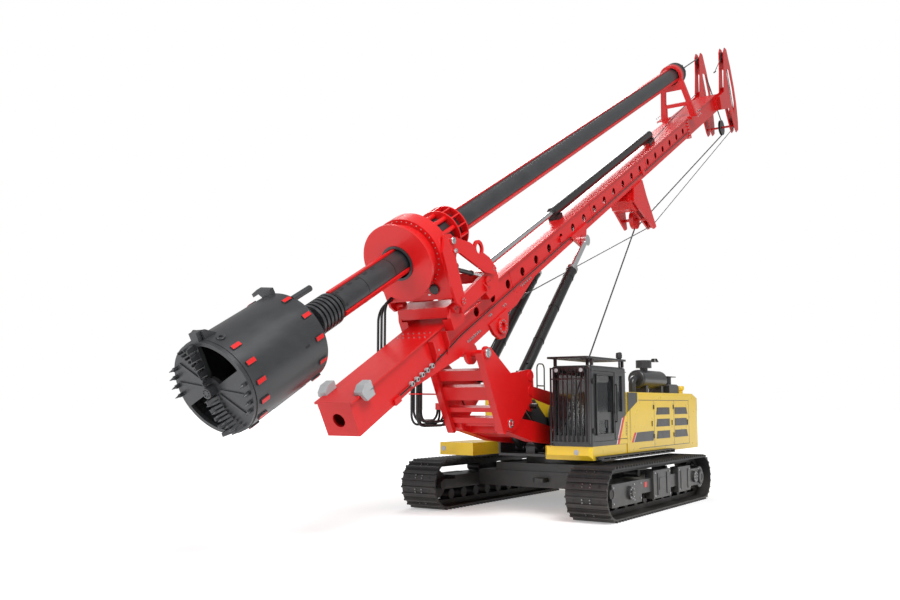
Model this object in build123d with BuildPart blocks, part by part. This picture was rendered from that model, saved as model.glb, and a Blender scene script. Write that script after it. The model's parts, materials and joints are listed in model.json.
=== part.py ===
"""Rotary piling rig: crawler base, slewing upper with cab, luffing arm, laid-back mast,
rotary drive, kelly bar and drilling bucket.

Millimetres, +X forward, +Y to the machine's left (the cab side), +Z up from the ground.
Positions along the mast are "up" the mast from its foot and "off" it from the kelly axis.
"""

import os
from math import cos, degrees, hypot, pi, radians, sin

from build123d import *

os.makedirs("parts", exist_ok=True)

# ---------------------------------------------------------------- clearances
pin_gap = 0.3           # round pin in its eye
seat_gap = 0.3          # a piece on its seat, or a shoe beside its rail

# ---------------------------------------------------------------- crawlers
slew_x = 1100           # slewing axis, ahead of the middle of the whole rig
track_length = 5737     # over the grouser tips
track_height = 979
track_spread = 4400     # over the outer shoe ends
shoe_width = 800
grouser_height = 38
shoe_plate = 26
shoe_pitch = 262
link_height = 96        # chain link, inside the shoe plate
link_width = 240
track_y = (track_spread - shoe_width) / 2
rail_radius = track_height / 2 - grouser_height - shoe_plate - link_height
axle_x = track_length / 2 - track_height / 2     # sprocket behind, idler ahead
axle_z = track_height / 2
lower_roller_radius = 105
upper_roller_radius = 70
tow_x = 1110            # tow eyes, ahead of and behind the car body, for upright pins
tow_z = 560
tow_hole = 50
tow_plate = 80
roller_width = 300
lower_roller_pitch = 470
side_frame_half = 290
side_frame_bottom = 395
side_frame_top = 650
axle_radius = 80
side_frame_end = 429        # the side beam stops this far short of each axle
side_frame_reach = axle_x - side_frame_end      # half length of the side beam
lower_roller_end = 60       # least room from the last roller to the end of its beam
lower_roller_count = 1 + int(2 * (side_frame_reach - lower_roller_end) / lower_roller_pitch)
cover_inner = 160           # side covers, out from the track's middle
cover_outer = 300
drive_cover_radius = 225

# ---------------------------------------------------------------- upper machine
deck_bottom = 1065
deck_top = 1290
deck_half = 1560
deck_front = 850
girder_front = 1750
girder_floor = 50
ring_radius = 820
upper_half = 1750
house_rear = -2850
house_front = 380             # right pod
house_top = 2320
house_bottom = 1085
house_wall = 60
pod_inner = 700             # inner wall of each side pod
pod_front = 780             # left pod, behind the cab
hood_top = 2120
hood_bottom = 1800
hood_front = -1100
ballast_rear = -4150
ballast_corner = 890
box_height = 250            # yellow boxes under the cab and beside it
cab_rear = 800
cab_front = 2450
cab_inner = 950
cab_bottom = deck_bottom + box_height + seat_gap
cab_top = 2790
cab_wall = 60
girder_outer = 600
girder_plate = 40

# ---------------------------------------------------------------- luffing linkage (x, z)
arm_foot = (1360, 1440)
arm_tip = (3370, 1735)
link_tip = (2590, 2335)
mast_pin = (4170, 2960)
ram_foot = (2610, 2605)
luff_foot = (1450, 1235)
luff_eye = (2800, 2300)
link_foot = (arm_foot[0] + link_tip[0] - arm_tip[0], arm_foot[1] + link_tip[1] - arm_tip[1])
pin_radius = 55
ram_y = 430
ram_radius = 108
ram_rod_radius = 62
ram_barrel_length = 3220
luff_y = 225
luff_radius = 105
arm_inner = 345             # inner and outer faces of the arm's side beams
arm_outer = 547
link_y = 525
link_plate = 44
luff_rod_radius = 52
luff_barrel_length = 1400

# ---------------------------------------------------------------- mast
mast_angle = 28.74
mast_foot = (8077, 3184)    # kelly axis over the foot plate (x, z)
mast_front = -1257
mast_rear = -1756
mast_deep = -1960
mast_half = 307
mast_wall = 16
splice_up = 17170
mast_end = 20550
rail_end = 20050
head_plate = 70
side_hole_radius = 88
side_hole_first = 3800
side_hole_pitch = 643
side_hole_count = 22
rail_plate = 30
rail_half = 360
crowd_off = -1050
crowd_barrel = (8100, 14750)
crowd_radius = 110
crowd_rod_radius = 58
crowd_rod_start = 4400      # face of the carriage's cross beam
crowd_rod_end = 11000
ram_head = (8500, -1873)    # pin of the mast rams (up, off)

# ---------------------------------------------------------------- rotary drive and kelly
drive_low = 2420            # face of the front plate
front_plate = 50
front_radius = 655
drum_radius = 560           # between the front plate and the housing
housing_radius = 650
housing_half = 650          # straight sides of the housing
housing_foot = -790         # its flat face towards the mast
rear_boss = 80              # bolted cover on the back of the housing
rear_radius = 600
ring_bolts = 24
ring_bolt_circle = 1060     # bolts of the rear cover
ring_bolt_radius = 9
ring_bolt_depth = 60
housing_start = 2720
housing_end = 3030
rear_end = housing_end + rear_boss
damper_ring = 345
damper_radius = 42
damper_count = 10
kelly_radius = 222
key_height = 27
key_width = 70
key_count = 3
kelly_low = 640
kelly_end = 17620
sleeve_bore = kelly_radius + key_height + 8
sleeve_wall = 40
bucket_radius = 654
bucket_wall = 25
bucket_mouth = -1830
bucket_back = -375
socket_height = 300
lid_plate = 60
tooth_length = 150

# ---------------------------------------------------------------- planes
up_mast = Vector(-cos(radians(mast_angle)), 0, sin(radians(mast_angle)))
off_mast = Vector(sin(radians(mast_angle)), 0, cos(radians(mast_angle)))
foot_point = Vector(slew_x + mast_foot[0], 0, mast_foot[1])


def side(y):
    """Upright plane along the machine at y: local x forward, local y up."""
    return Plane(origin=(slew_x, y, 0), x_dir=(1, 0, 0), z_dir=(0, -1, 0))


def front(x):
    """Upright plane across the machine at x: local x to the left, local y up."""
    return Plane(origin=(slew_x + x, 0, 0), x_dir=(0, 1, 0), z_dir=(1, 0, 0))


def level(z):
    """Horizontal plane at height z, centred on the slewing axis."""
    return Plane(origin=(slew_x, 0, z))


def mast_side(y):
    """Plane along the mast at y: local x up the mast, local y off the mast."""
    return Plane(origin=foot_point + Vector(0, y, 0), x_dir=up_mast, z_dir=(0, 1, 0))


def mast_cross(up):
    """Plane across the mast: local x off the mast, local y to the left."""
    return Plane(origin=foot_point + up_mast * up, x_dir=off_mast, z_dir=up_mast)


def mast_face(off):
    """Plane along the mast's front: local x up the mast, local y to the right."""
    return Plane(origin=foot_point + off_mast * off, x_dir=up_mast, z_dir=off_mast)


def strut_plane(foot, tip, y):
    """Plane at y whose local x runs from foot to tip, both (x, z)."""
    run = Vector(tip[0] - foot[0], 0, tip[1] - foot[1])
    return Plane(origin=(slew_x + foot[0], y, foot[1]), x_dir=run, z_dir=(0, -1, 0))


def mast_point(up, off):
    """(x, z) of a point given up and off the mast."""
    spot = foot_point + up_mast * up + off_mast * off
    return (spot.X - slew_x, spot.Z)


def keep(piece, node):
    """Label a finished piece and write its STEP file."""
    piece.label = node
    export_step(piece, f"parts/{node}.step")


# ================================================================ crawler base
belt_outer = track_height / 2 - grouser_height
run_half = axle_x
belt_line = belt_outer - shoe_plate / 2
loop_length = 4 * run_half + 2 * pi * belt_line
shoe_count = round(loop_length / shoe_pitch)


grouser_spots = (-66, 66)       # along the shoe
grouser_half = 14


def shoe_spot(distance):
    """Place (x, z) and heading in degrees of the chain at a distance round the loop."""
    straight = 2 * run_half
    arc = pi * belt_line
    if distance < straight:
        return run_half - distance, axle_z + belt_line, 180
    if distance < straight + arc:
        turn = (distance - straight) / belt_line
        return -run_half - belt_line * sin(turn), axle_z + belt_line * cos(turn), 180 + degrees(turn)
    if distance < 2 * straight + arc:
        return distance - straight - arc - run_half, axle_z - belt_line, 0
    turn = (distance - 2 * straight - arc) / belt_line
    return run_half + belt_line * sin(turn), axle_z - belt_line * cos(turn), degrees(turn)


def shoe_outline():
    """Corners of the outer outline: one plate with its grousers for each shoe."""
    half = shoe_pitch_true / 2 - 6
    steps = [(-half, 0), (-half, shoe_plate / 2)]
    for spot in grouser_spots:
        steps += [(spot - grouser_half - 8, shoe_plate / 2), (spot - grouser_half, shoe_plate / 2 + grouser_height),
                  (spot + grouser_half, shoe_plate / 2 + grouser_height), (spot + grouser_half + 8, shoe_plate / 2)]
    steps += [(half, shoe_plate / 2), (half, 0)]
    corners = []
    for number in range(shoe_count):
        x, z, heading = shoe_spot(number * loop_length / shoe_count)
        along = (cos(radians(heading)), sin(radians(heading)))
        for step, out in steps:
            corners.append((x + step * along[0] + out * along[1], max(0, z + step * along[1] - out * along[0])))
    return corners


shoe_pitch_true = loop_length / shoe_count
for node, hand in (("track_left", 1), ("track_right", -1)):
    with BuildPart() as track:
        with BuildSketch(side(hand * track_y)):
            with BuildLine():
                Polyline(*shoe_outline(), close=True)
            make_face()
            with Locations((0, axle_z)):
                SlotCenterToCenter(2 * run_half, 2 * (belt_outer - shoe_plate), mode=Mode.SUBTRACT)
        extrude(amount=shoe_width / 2, both=True)
        with BuildSketch(side(hand * track_y)):
            with Locations((0, axle_z)):
                SlotCenterToCenter(2 * run_half, 2 * (belt_outer - shoe_plate + 2))
                SlotCenterToCenter(2 * run_half, 2 * rail_radius, mode=Mode.SUBTRACT)
        extrude(amount=link_width / 2, both=True)
    keep(track.part, node)

side_covers = (
    # middle, width, low, high, reach from the track's middle
    (1700, 1400, 250, 660, 300),
    (5, 930, 250, 790, 335),
    (-1290, 740, 270, 780, 335),
    (-2040, 760, 330, 690, 300),
)
side_bosses = (
    # x, z, radius, reach from the track's middle
    (1570, 455, 125, 345),
    (-2000, 520, 120, 345),
)
for node, hand in (("side_frame_left", 1), ("side_frame_right", -1)):
    outside = side(hand * (track_y + cover_inner))
    with BuildPart() as side_frame:
        with BuildSketch(side(hand * track_y)):
            with Locations((0, (side_frame_bottom + side_frame_top) / 2)):
                Rectangle(2 * side_frame_reach, side_frame_top - side_frame_bottom)
            with Locations((0, axle_z)):
                SlotCenterToCenter(2 * axle_x, 180)
        extrude(amount=side_frame_half, both=True)
        for middle, width, low, high, reach in side_covers:
            with BuildSketch(outside):
                with Locations((middle, (low + high) / 2)):
                    Rectangle(width, high - low)
            extrude(amount=-hand * (reach - cover_inner))
        for x, z, radius, reach in side_bosses + ((-axle_x, axle_z, drive_cover_radius, cover_outer),):
            with BuildSketch(outside):
                with Locations((x, z)):
                    Circle(radius)
            extrude(amount=-hand * (reach - cover_inner))
        for end in (-1, 1):
            hub = Plane(origin=(slew_x + end * axle_x, hand * track_y, axle_z), z_dir=(0, 1, 0))
            with Locations(hub):
                Cylinder(rail_radius + 40, roller_width + 20, mode=Mode.SUBTRACT)
                Cylinder(axle_radius + seat_gap, 4 * side_frame_half, mode=Mode.SUBTRACT)
    keep(side_frame.part, node)

with BuildPart() as track_wheels:
    for hand in (-1, 1):
        for end in (-1, 1):
            hub = Plane(origin=(slew_x + end * axle_x, hand * track_y, axle_z), z_dir=(0, 1, 0))
            with Locations(hub):
                Cylinder(rail_radius - seat_gap, link_width / 2)
                Cylinder(axle_radius, 2 * side_frame_half)
                Cylinder(rail_radius - 60, roller_width)
keep(track_wheels.part, "track_wheels")

with BuildPart() as track_rollers:
    for hand in (-1, 1):
        for number in range(lower_roller_count):
            x = (number - (lower_roller_count - 1) / 2) * lower_roller_pitch
            z = axle_z - rail_radius + lower_roller_radius + seat_gap
            with Locations(Plane(origin=(slew_x + x, hand * track_y, z), z_dir=(0, 1, 0))):
                Cylinder(lower_roller_radius, roller_width)
        for x in (-750, 750):
            z = axle_z + rail_radius - upper_roller_radius - seat_gap
            with Locations(Plane(origin=(slew_x + x, hand * track_y, z), z_dir=(0, 1, 0))):
                Cylinder(upper_roller_radius, roller_width)
keep(track_rollers.part, "track_rollers")

with BuildPart() as car_body:
    with BuildSketch(level(420)):
        Rectangle(2000, 2200)
    extrude(amount=460)
    for x in (-780, 780):
        with BuildSketch(front(x)):
            with Locations((0, 560)):
                Rectangle(2 * (track_y - side_frame_half) - 2 * seat_gap, 320)
        extrude(amount=260, both=True)
    with BuildSketch(level(880)):
        Circle(ring_radius)
    extrude(amount=deck_bottom - seat_gap - 880)
    with BuildSketch(level(tow_z - tow_plate / 2)):
        with Locations((-tow_x, 0), (tow_x, 0)):
            RectangleRounded(240, 260, 60)
    extrude(amount=tow_plate)
    with BuildSketch(level(tow_z - tow_plate / 2)):
        with Locations((-tow_x, 0), (tow_x, 0)):
            Circle(tow_hole)
    extrude(amount=tow_plate, mode=Mode.SUBTRACT)
keep(car_body.part, "car_body")

# ================================================================ upper frame
luff_lug_half = 100         # middle lug between the feet of the luffing rams
with BuildPart() as upper_frame:
    with BuildSketch(level(deck_bottom)):
        with Locations(((house_rear + deck_front) / 2, 0)):
            Rectangle(deck_front - house_rear, 2 * deck_half)
    extrude(amount=deck_top - deck_bottom)
    with BuildSketch(level(deck_bottom)):
        with Locations(((girder_front + deck_front) / 2, 0)):
            Rectangle(girder_front - deck_front, 2 * girder_outer)
    extrude(amount=girder_floor)
    for hand in (-1, 1):
        with BuildSketch(side(hand * (girder_outer - girder_plate / 2))):
            with BuildLine():
                Polyline((-2800, deck_bottom), (girder_front, deck_bottom), (girder_front, 1560), (1300, 1760), (900, 2180),
                         (300, 2180), (-200, 1800), (-2800, 1600), close=True)
            make_face()
        extrude(amount=girder_plate / 2, both=True)
        for pin in (arm_foot, link_foot):
            middle = (arm_inner + girder_outer) / 2
            with Locations(Plane(origin=(slew_x + pin[0], hand * middle, pin[1]), z_dir=(0, 1, 0))):
                Cylinder(pin_radius, girder_outer - arm_inner)
    with Locations(Plane(origin=(slew_x + luff_foot[0], 0, luff_foot[1]), z_dir=(0, 1, 0))):
        Cylinder(pin_radius, 2 * (luff_y + luff_radius))
    with BuildSketch(side(0)):
        with Locations((luff_foot[0], (deck_bottom + luff_foot[1]) / 2)):
            Rectangle(3 * pin_radius, luff_foot[1] - deck_bottom)
        with Locations(luff_foot):
            Circle(1.5 * pin_radius)
    extrude(amount=luff_lug_half, both=True)
keep(upper_frame.part, "upper_frame")

grilles = (
    # upper front corner, lower front corner, upper rear corner, lower rear corner (x), low, high (z)
    (-820, -760, -1560, -1560, 1360, 1520),
    (-820, -760, -1560, -1560, 1610, 1770),
    (-820, -760, -1560, -1560, 1860, 2010),
    (-1880, -1880, -2640, -2720, 1360, 1520),
    (-1880, -1880, -2640, -2720, 1610, 1770),
    (-1880, -1880, -2640, -2720, 1860, 2010),
)
grille_bar_pitch = 75
grille_bar = 14
grille_depth = 45
for node, hand, pod_end in (("house_left", 1, pod_front), ("house_right", -1, house_front)):
    with BuildPart() as house:
        with BuildSketch(level(deck_top + seat_gap)):
            with Locations(((house_rear + pod_end) / 2, hand * (pod_inner + upper_half) / 2)):
                Rectangle(pod_end - house_rear, upper_half - pod_inner)
        extrude(amount=house_top - deck_top - seat_gap)
        fillet(house.edges().filter_by(Axis.X).group_by(Axis.Z)[-1], 60)
        with BuildSketch(level(deck_top + seat_gap)):
            with Locations(((house_rear + pod_end) / 2, hand * (pod_inner + upper_half) / 2)):
                Rectangle(pod_end - house_rear - 2 * house_wall,
                          upper_half - pod_inner - 2 * house_wall)
        extrude(amount=house_top - deck_top - house_wall, mode=Mode.SUBTRACT)
        with BuildSketch(level(house_bottom)):
            with Locations(((house_rear + pod_end) / 2, hand * (deck_half + seat_gap + upper_half) / 2)):
                Rectangle(pod_end - house_rear, upper_half - deck_half - seat_gap)
        extrude(amount=deck_top + seat_gap - house_bottom)
        with BuildSketch(side(hand * (upper_half - grille_depth))):
            for top_front, low_front, top_rear, low_rear, low, high in grilles:
                with BuildLine():
                    Polyline((top_front, high), (low_front, low), (low_rear, low), (top_rear, high), close=True)
                make_face()
            with Locations((-1160, 1680), (-2290, 1680)):
                with GridLocations(grille_bar_pitch, 1, 13, 1):
                    Rectangle(grille_bar, 700, mode=Mode.SUBTRACT)
        extrude(amount=-hand * 2 * grille_depth, mode=Mode.SUBTRACT)
    keep(house.part, node)

with BuildPart() as hood:
    with BuildSketch(level(hood_bottom)):
        with Locations(((house_rear + hood_front) / 2, 0)):
            Rectangle(hood_front - house_rear, 2 * (pod_inner - seat_gap))
    extrude(amount=hood_top - hood_bottom)
    with BuildSketch(level(hood_bottom)):
        with Locations(((house_rear + hood_front) / 2, 0)):
            Rectangle(hood_front - house_rear - 2 * house_wall, 2 * (pod_inner - house_wall))
    extrude(amount=hood_top - hood_bottom - house_wall, mode=Mode.SUBTRACT)
keep(hood.part, "hood")

with BuildPart() as engine_block:
    with BuildSketch(level(deck_top + seat_gap)):
        with Locations((-2100, 0)):
            Rectangle(1300, 900)
    extrude(amount=380)
keep(engine_block.part, "engine_block")

ballast_front = house_rear - seat_gap
with BuildPart() as counterweight:
    with BuildSketch(level(house_bottom)):
        with Locations(((ballast_front + ballast_rear) / 2, 0)):
            Rectangle(ballast_front - ballast_rear, 2 * upper_half)
    extrude(amount=house_top - house_bottom)
    fillet(counterweight.edges().filter_by(Axis.Z).group_by(Axis.X)[0], ballast_corner)
    chamfer(counterweight.edges().group_by(Axis.Z)[-1].sort_by(Axis.X)[:-1], 110)
keep(counterweight.part, "counterweight")

box_start = deck_front + seat_gap
boxes = (
    # front, inner edge, outer edge (y)
    (2145, -960, -upper_half),
    (cab_front + 5, 790, upper_half),
)
with BuildPart() as front_boxes:
    for box_front, inner, outer in boxes:
        with BuildSketch(level(deck_bottom)):
            with Locations(((box_start + box_front) / 2, (inner + outer) / 2)):
                Rectangle(box_front - box_start, abs(outer - inner))
        extrude(amount=box_height)
    chamfer(front_boxes.edges().filter_by(Axis.Y).group_by(Axis.Z)[0].group_by(Axis.X)[-1], 90)
    chamfer(front_boxes.edges().filter_by(Axis.Z).group_by(Axis.X)[-1], 60)
keep(front_boxes.part, "front_boxes")

# ================================================================ cab
door_rear = 1420
door_front = 2330
door_low = 1400
door_high = 2690
cab_corner = 70
roof_round = 55
cab_middle = ((cab_rear + cab_front) / 2, (cab_inner + upper_half) / 2)
side_window = (1020, 1290, 1940, 2620)      # rear, front, low, high
inner_window = (970, 2290, 1770, 2630)
front_window = (90, 1510, 2690)             # side margin, low, high
rear_window = (100, 2100, 2640)
with BuildPart() as cab_shell:
    with BuildSketch(level(cab_bottom + cab_wall)):
        with Locations(cab_middle):
            RectangleRounded(cab_front - cab_rear, upper_half - cab_inner, cab_corner)
            Rectangle(cab_front - cab_rear - 2 * cab_wall, upper_half - cab_inner - 2 * cab_wall,
                      mode=Mode.SUBTRACT)
    extrude(amount=cab_top - cab_bottom - 2 * cab_wall)
    with BuildSketch(side(upper_half)):
        with Locations(((door_rear + door_front) / 2, (door_low + door_high) / 2)):
            Rectangle(door_front - door_rear, door_high - door_low)
        with Locations(((side_window[0] + side_window[1]) / 2, (side_window[2] + side_window[3]) / 2)):
            Rectangle(side_window[1] - side_window[0], side_window[3] - side_window[2])
    extrude(amount=2 * cab_wall, both=True, mode=Mode.SUBTRACT)
    with BuildSketch(side(cab_inner)):
        with Locations(((inner_window[0] + inner_window[1]) / 2, (inner_window[2] + inner_window[3]) / 2)):
            Rectangle(inner_window[1] - inner_window[0], inner_window[3] - inner_window[2])
    extrude(amount=2 * cab_wall, both=True, mode=Mode.SUBTRACT)
    for x, (margin, low, high) in ((cab_front, front_window), (cab_rear, rear_window)):
        with BuildSketch(front(x)):
            with Locations((cab_middle[1], (low + high) / 2)):
                Rectangle(upper_half - cab_inner - 2 * margin, high - low)
        extrude(amount=2 * cab_wall, both=True, mode=Mode.SUBTRACT)
keep(cab_shell.part, "cab_shell")

with BuildPart() as cab_floor:
    with BuildSketch(level(cab_bottom)):
        with Locations(cab_middle):
            RectangleRounded(cab_front - cab_rear, upper_half - cab_inner, cab_corner)
    extrude(amount=cab_wall)
keep(cab_floor.part, "cab_floor")

with BuildPart() as cab_roof:
    with BuildSketch(level(cab_top - cab_wall)):
        with Locations(cab_middle):
            RectangleRounded(cab_front - cab_rear, upper_half - cab_inner, cab_corner)
    extrude(amount=cab_wall)
    fillet(cab_roof.edges().group_by(Axis.Z)[-1], roof_round)
keep(cab_roof.part, "cab_roof")

pane = 8
pane_gap = 1                # all round each pane
with BuildPart() as cab_glass:
    for y, window in ((upper_half - cab_wall / 2, side_window), (cab_inner + cab_wall / 2, inner_window)):
        rear, ahead, low, high = window
        with BuildSketch(side(y)):
            with Locations(((rear + ahead) / 2, (low + high) / 2)):
                Rectangle(ahead - rear - pane_gap, high - low - pane_gap)
        extrude(amount=pane / 2, both=True)
    for x, (margin, low, high) in ((cab_front - cab_wall / 2, front_window), (cab_rear + cab_wall / 2, rear_window)):
        with BuildSketch(front(x)):
            with Locations((cab_middle[1], (low + high) / 2)):
                Rectangle(upper_half - cab_inner - 2 * margin - pane_gap, high - low - pane_gap)
        extrude(amount=pane / 2, both=True)
keep(cab_glass.part, "cab_glass")

door_gap = 7
door_panes = (
    # middle x, width, low, high
    ((door_rear + door_front) / 2, door_front - door_rear - 180, 1930, 2610),
    ((door_rear + door_front) / 2 + 20, 400, 1540, 1790),
)
hinge_radius_door = 14
with BuildPart() as cab_door:
    with BuildSketch(side(upper_half - cab_wall / 2)):
        with Locations(((door_rear + door_front) / 2, (door_low + door_high) / 2)):
            Rectangle(door_front - door_rear - 2 * door_gap, door_high - door_low - 2 * door_gap)
        for middle, width, low, high in door_panes:
            with Locations((middle, (low + high) / 2)):
                RectangleRounded(width, high - low, 40, mode=Mode.SUBTRACT)
    extrude(amount=cab_wall / 2, both=True)
    for z in (door_low + 200, door_high - 200):
        with Locations((slew_x + door_rear + 1, upper_half + hinge_radius_door + seat_gap, z)):
            Cylinder(hinge_radius_door, 90)
            with Locations((15, -hinge_radius_door / 2, 0)):
                Box(30, hinge_radius_door + 2 * seat_gap, 90)
keep(cab_door.part, "cab_door")

with BuildPart() as door_glass:
    with BuildSketch(side(upper_half - cab_wall / 2)):
        for middle, width, low, high in door_panes:
            with Locations((middle, (low + high) / 2)):
                RectangleRounded(width - pane_gap, high - low - pane_gap, 40 - pane_gap / 2)
    extrude(amount=pane / 2, both=True)
keep(door_glass.part, "door_glass")

guard_plate = 12
with BuildPart() as cab_guards:
    with BuildSketch(front(cab_front + 40)):
        with Locations(((cab_inner + upper_half) / 2, 2060)):
            Rectangle(upper_half - cab_inner, 1380)
            Rectangle(upper_half - cab_inner - 60, 1320, mode=Mode.SUBTRACT)
            with GridLocations(90, 1, 8, 1):
                Rectangle(16, 1340)
        with Locations(((cab_inner + upper_half) / 2, 2540)):
            Rectangle(upper_half - cab_inner - 40, 24)
    extrude(amount=guard_plate, both=True)
    for y in (cab_inner + 95, upper_half - 95):
        for z in (1390, 2740):
            with BuildSketch(front(cab_front + seat_gap)):
                with Locations((y, z)):
                    Rectangle(40, 30)
            extrude(amount=40)
keep(cab_guards.part, "cab_guards")

visor = 150                 # the roof guard stands this far ahead of the cab
with BuildPart() as roof_guard:
    with BuildSketch(level(cab_top + 120)):
        with Locations(((cab_rear + cab_front + visor) / 2, (cab_inner + upper_half) / 2)):
            Rectangle(cab_front + visor - cab_rear, upper_half - cab_inner)
            Rectangle(cab_front + visor - cab_rear - 80, upper_half - cab_inner - 80, mode=Mode.SUBTRACT)
            with GridLocations(130, 1, 13, 1):
                Rectangle(30, upper_half - cab_inner - 40)
    extrude(amount=40)
    for x in (cab_rear + 120, cab_front - 120):
        for y in (cab_inner + 30, upper_half - 30):
            with BuildSketch(level(cab_top + seat_gap)):
                with Locations((x, y)):
                    Rectangle(50, 50)
            extrude(amount=121)
keep(roof_guard.part, "roof_guard")

with BuildPart() as operator_seat:
    with BuildSketch(side((cab_inner + upper_half) / 2)):
        with BuildLine():
            Polyline((1150, cab_bottom + cab_wall + seat_gap), (1550, cab_bottom + cab_wall + seat_gap),
                     (1550, 1700), (1700, 1700), (1700, 1850), (1220, 1850), (1150, 2500), (1030, 2500),
                     (1050, 1700), close=True)
        make_face()
    extrude(amount=240, both=True)
keep(operator_seat.part, "operator_seat")

# ================================================================ on the deck
drum_y = 1250
drum_z = house_top + 300
with BuildPart() as air_cleaner:
    with Locations(Plane(origin=(slew_x - 1640, drum_y, drum_z), z_dir=(1, 0, 0))):
        Cylinder(200, 1400)
    fillet(air_cleaner.edges(), 60)
    with BuildSketch(level(house_top + seat_gap)):
        with Locations((-1200, drum_y), (-2100, drum_y)):
            Rectangle(120, 300)
    extrude(amount=160)
    with BuildSketch(level(drum_z)):
        with Locations((-1400, drum_y)):
            Circle(85)
    extrude(amount=280)
    with BuildSketch(level(house_top + 545)):
        with Locations((-1400, drum_y)):
            Circle(170)
    extrude(amount=170)
    with BuildLine(side(drum_y)) as elbow:
        FilletPolyline((-720, house_top + seat_gap), (-720, drum_z), (-1000, drum_z), radius=130)
    with BuildSketch(Plane(origin=elbow.line @ 0, z_dir=elbow.line % 0)):
        Circle(75)
    sweep()
keep(air_cleaner.part, "air_cleaner")

with BuildPart() as exhaust:
    with BuildSketch(level(house_top + seat_gap)):
        with Locations((-2700, drum_y)):
            Rectangle(620, 420)
    extrude(amount=210)
    chamfer(exhaust.edges().group_by(Axis.Z)[-1], 40)
    with BuildSketch(level(house_top + 200)):
        with Locations((-2860, drum_y)):
            Circle(80)
    extrude(amount=180)
keep(exhaust.part, "exhaust")

winch_drum = (-1000 + 430, 1790)
with BuildPart() as main_winch:
    hub = Plane(origin=(slew_x + winch_drum[0], 0, winch_drum[1]), z_dir=(0, 1, 0))
    with Locations(hub):
        Cylinder(300, 900)
    for y in (-450, 450):
        with Locations(hub.offset(y)):
            Cylinder(420, 40)
    with BuildSketch(level(deck_top + seat_gap)):
        with Locations((winch_drum[0], -515), (winch_drum[0], 515)):
            Rectangle(500, 60)
    extrude(amount=winch_drum[1] - deck_top)
    with Locations(hub):
        Cylinder(120, 1060)
keep(main_winch.part, "main_winch")

hoop_y = -1200
hoop_x = (-1380, -1020)
hoop_top = 3010
tube = 16
with BuildPart() as handrails:
    with BuildLine(side(hoop_y)) as hoop:
        FilletPolyline((hoop_x[0], house_top + seat_gap), (hoop_x[0], hoop_top), (hoop_x[1], hoop_top),
                       (hoop_x[1], house_top + seat_gap), radius=120)
    with BuildSketch(Plane(origin=hoop.line @ 0, z_dir=hoop.line % 0)):
        Circle(tube)
    sweep()
    with Locations(Plane(origin=(slew_x + (hoop_x[0] + hoop_x[1]) / 2, hoop_y, 2500), z_dir=(1, 0, 0))):
        Cylinder(tube, hoop_x[1] - hoop_x[0])
keep(handrails.part, "handrails")

# ================================================================ luffing linkage
arm_box = (1150, 1830)      # closed part of the arm, between its side beams
with BuildPart() as luff_arm:
    length = hypot(arm_tip[0] - arm_foot[0], arm_tip[1] - arm_foot[1])
    for hand in (-1, 1):
        plane = strut_plane(arm_foot, arm_tip, hand * (arm_inner + arm_outer) / 2)
        with BuildSketch(plane):
            with BuildLine():
                Polyline((0, -150), (length * 0.5, -210), (length, -140), (length, 140),
                         (length * 0.5, 170), (0, 150), close=True)
            make_face()
            with Locations((0, 0), (length, 0)):
                Circle(150)
        extrude(amount=(arm_outer - arm_inner) / 2, both=True)
    with BuildSketch(strut_plane(arm_foot, arm_tip, 0)):
        with Locations(((arm_box[0] + arm_box[1]) / 2, -10)):
            Rectangle(arm_box[1] - arm_box[0], 280)
    extrude(amount=arm_inner, both=True)
    for spot in (arm_foot, arm_tip):
        with Locations(Plane(origin=(slew_x + spot[0], 0, spot[1]), z_dir=(0, 1, 0))):
            Cylinder(pin_radius + pin_gap, 1200, mode=Mode.SUBTRACT)
keep(luff_arm.part, "luff_arm")

with BuildPart() as upper_links:
    length = hypot(link_tip[0] - link_foot[0], link_tip[1] - link_foot[1])
    for hand in (-1, 1):
        with BuildSketch(strut_plane(link_foot, link_tip, hand * link_y)):
            with BuildLine():
                Polyline((0, -115), (length * 0.45, -150), (length, -100), (length, 100),
                         (length * 0.45, 120), (0, 115), close=True)
            make_face()
            with Locations((0, 0)):
                Circle(115)
            with Locations((length, 0)):
                Circle(100)
            with Locations((0, 0), (length, 0)):
                Circle(pin_radius + pin_gap, mode=Mode.SUBTRACT)
        extrude(amount=link_plate / 2, both=True)
keep(upper_links.part, "upper_links")

frame_edge = ((3560, 1610), (4290, 2960))       # front edge bars, low and high end (x, z)
bar_half = 55
bar_width = 130
boss_radius = 100
boss_plate = 18
cross_members = (
    # x, z, width along the edge, thickness
    (4020, 2600, 200, 90),
    (3850, 2290, 260, 110),
    (3690, 2000, 90, 90),
    (3590, 1810, 110, 90),
)
luff_eye_half = 60
eye_room = 8                # beside a rod's eye, which drifts a little off its pin as the ram turns
hose_blocks = (
    # centre (x, z), size: the blocks that the hoses of the frame start and end in
    ((4330, 2850), (400, 120)),
    ((3560, 2040), (280, 120)),
    ((4230, 2260), (600, 24)),
)
hose_reach = 220
hose_radius = 21
frame_hoses_at = (
    # y, x of the drop, lowest z, x of the end
    (-655, 4480, 1700, 3450),
    (-655, 4410, 1770, 3520),
    (-715, 4340, 1690, 3480),
    (-715, 4270, 1760, 3550),
    (-775, 4480, 1720, 3600),
    (-775, 4410, 1790, 3670),
)
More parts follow.
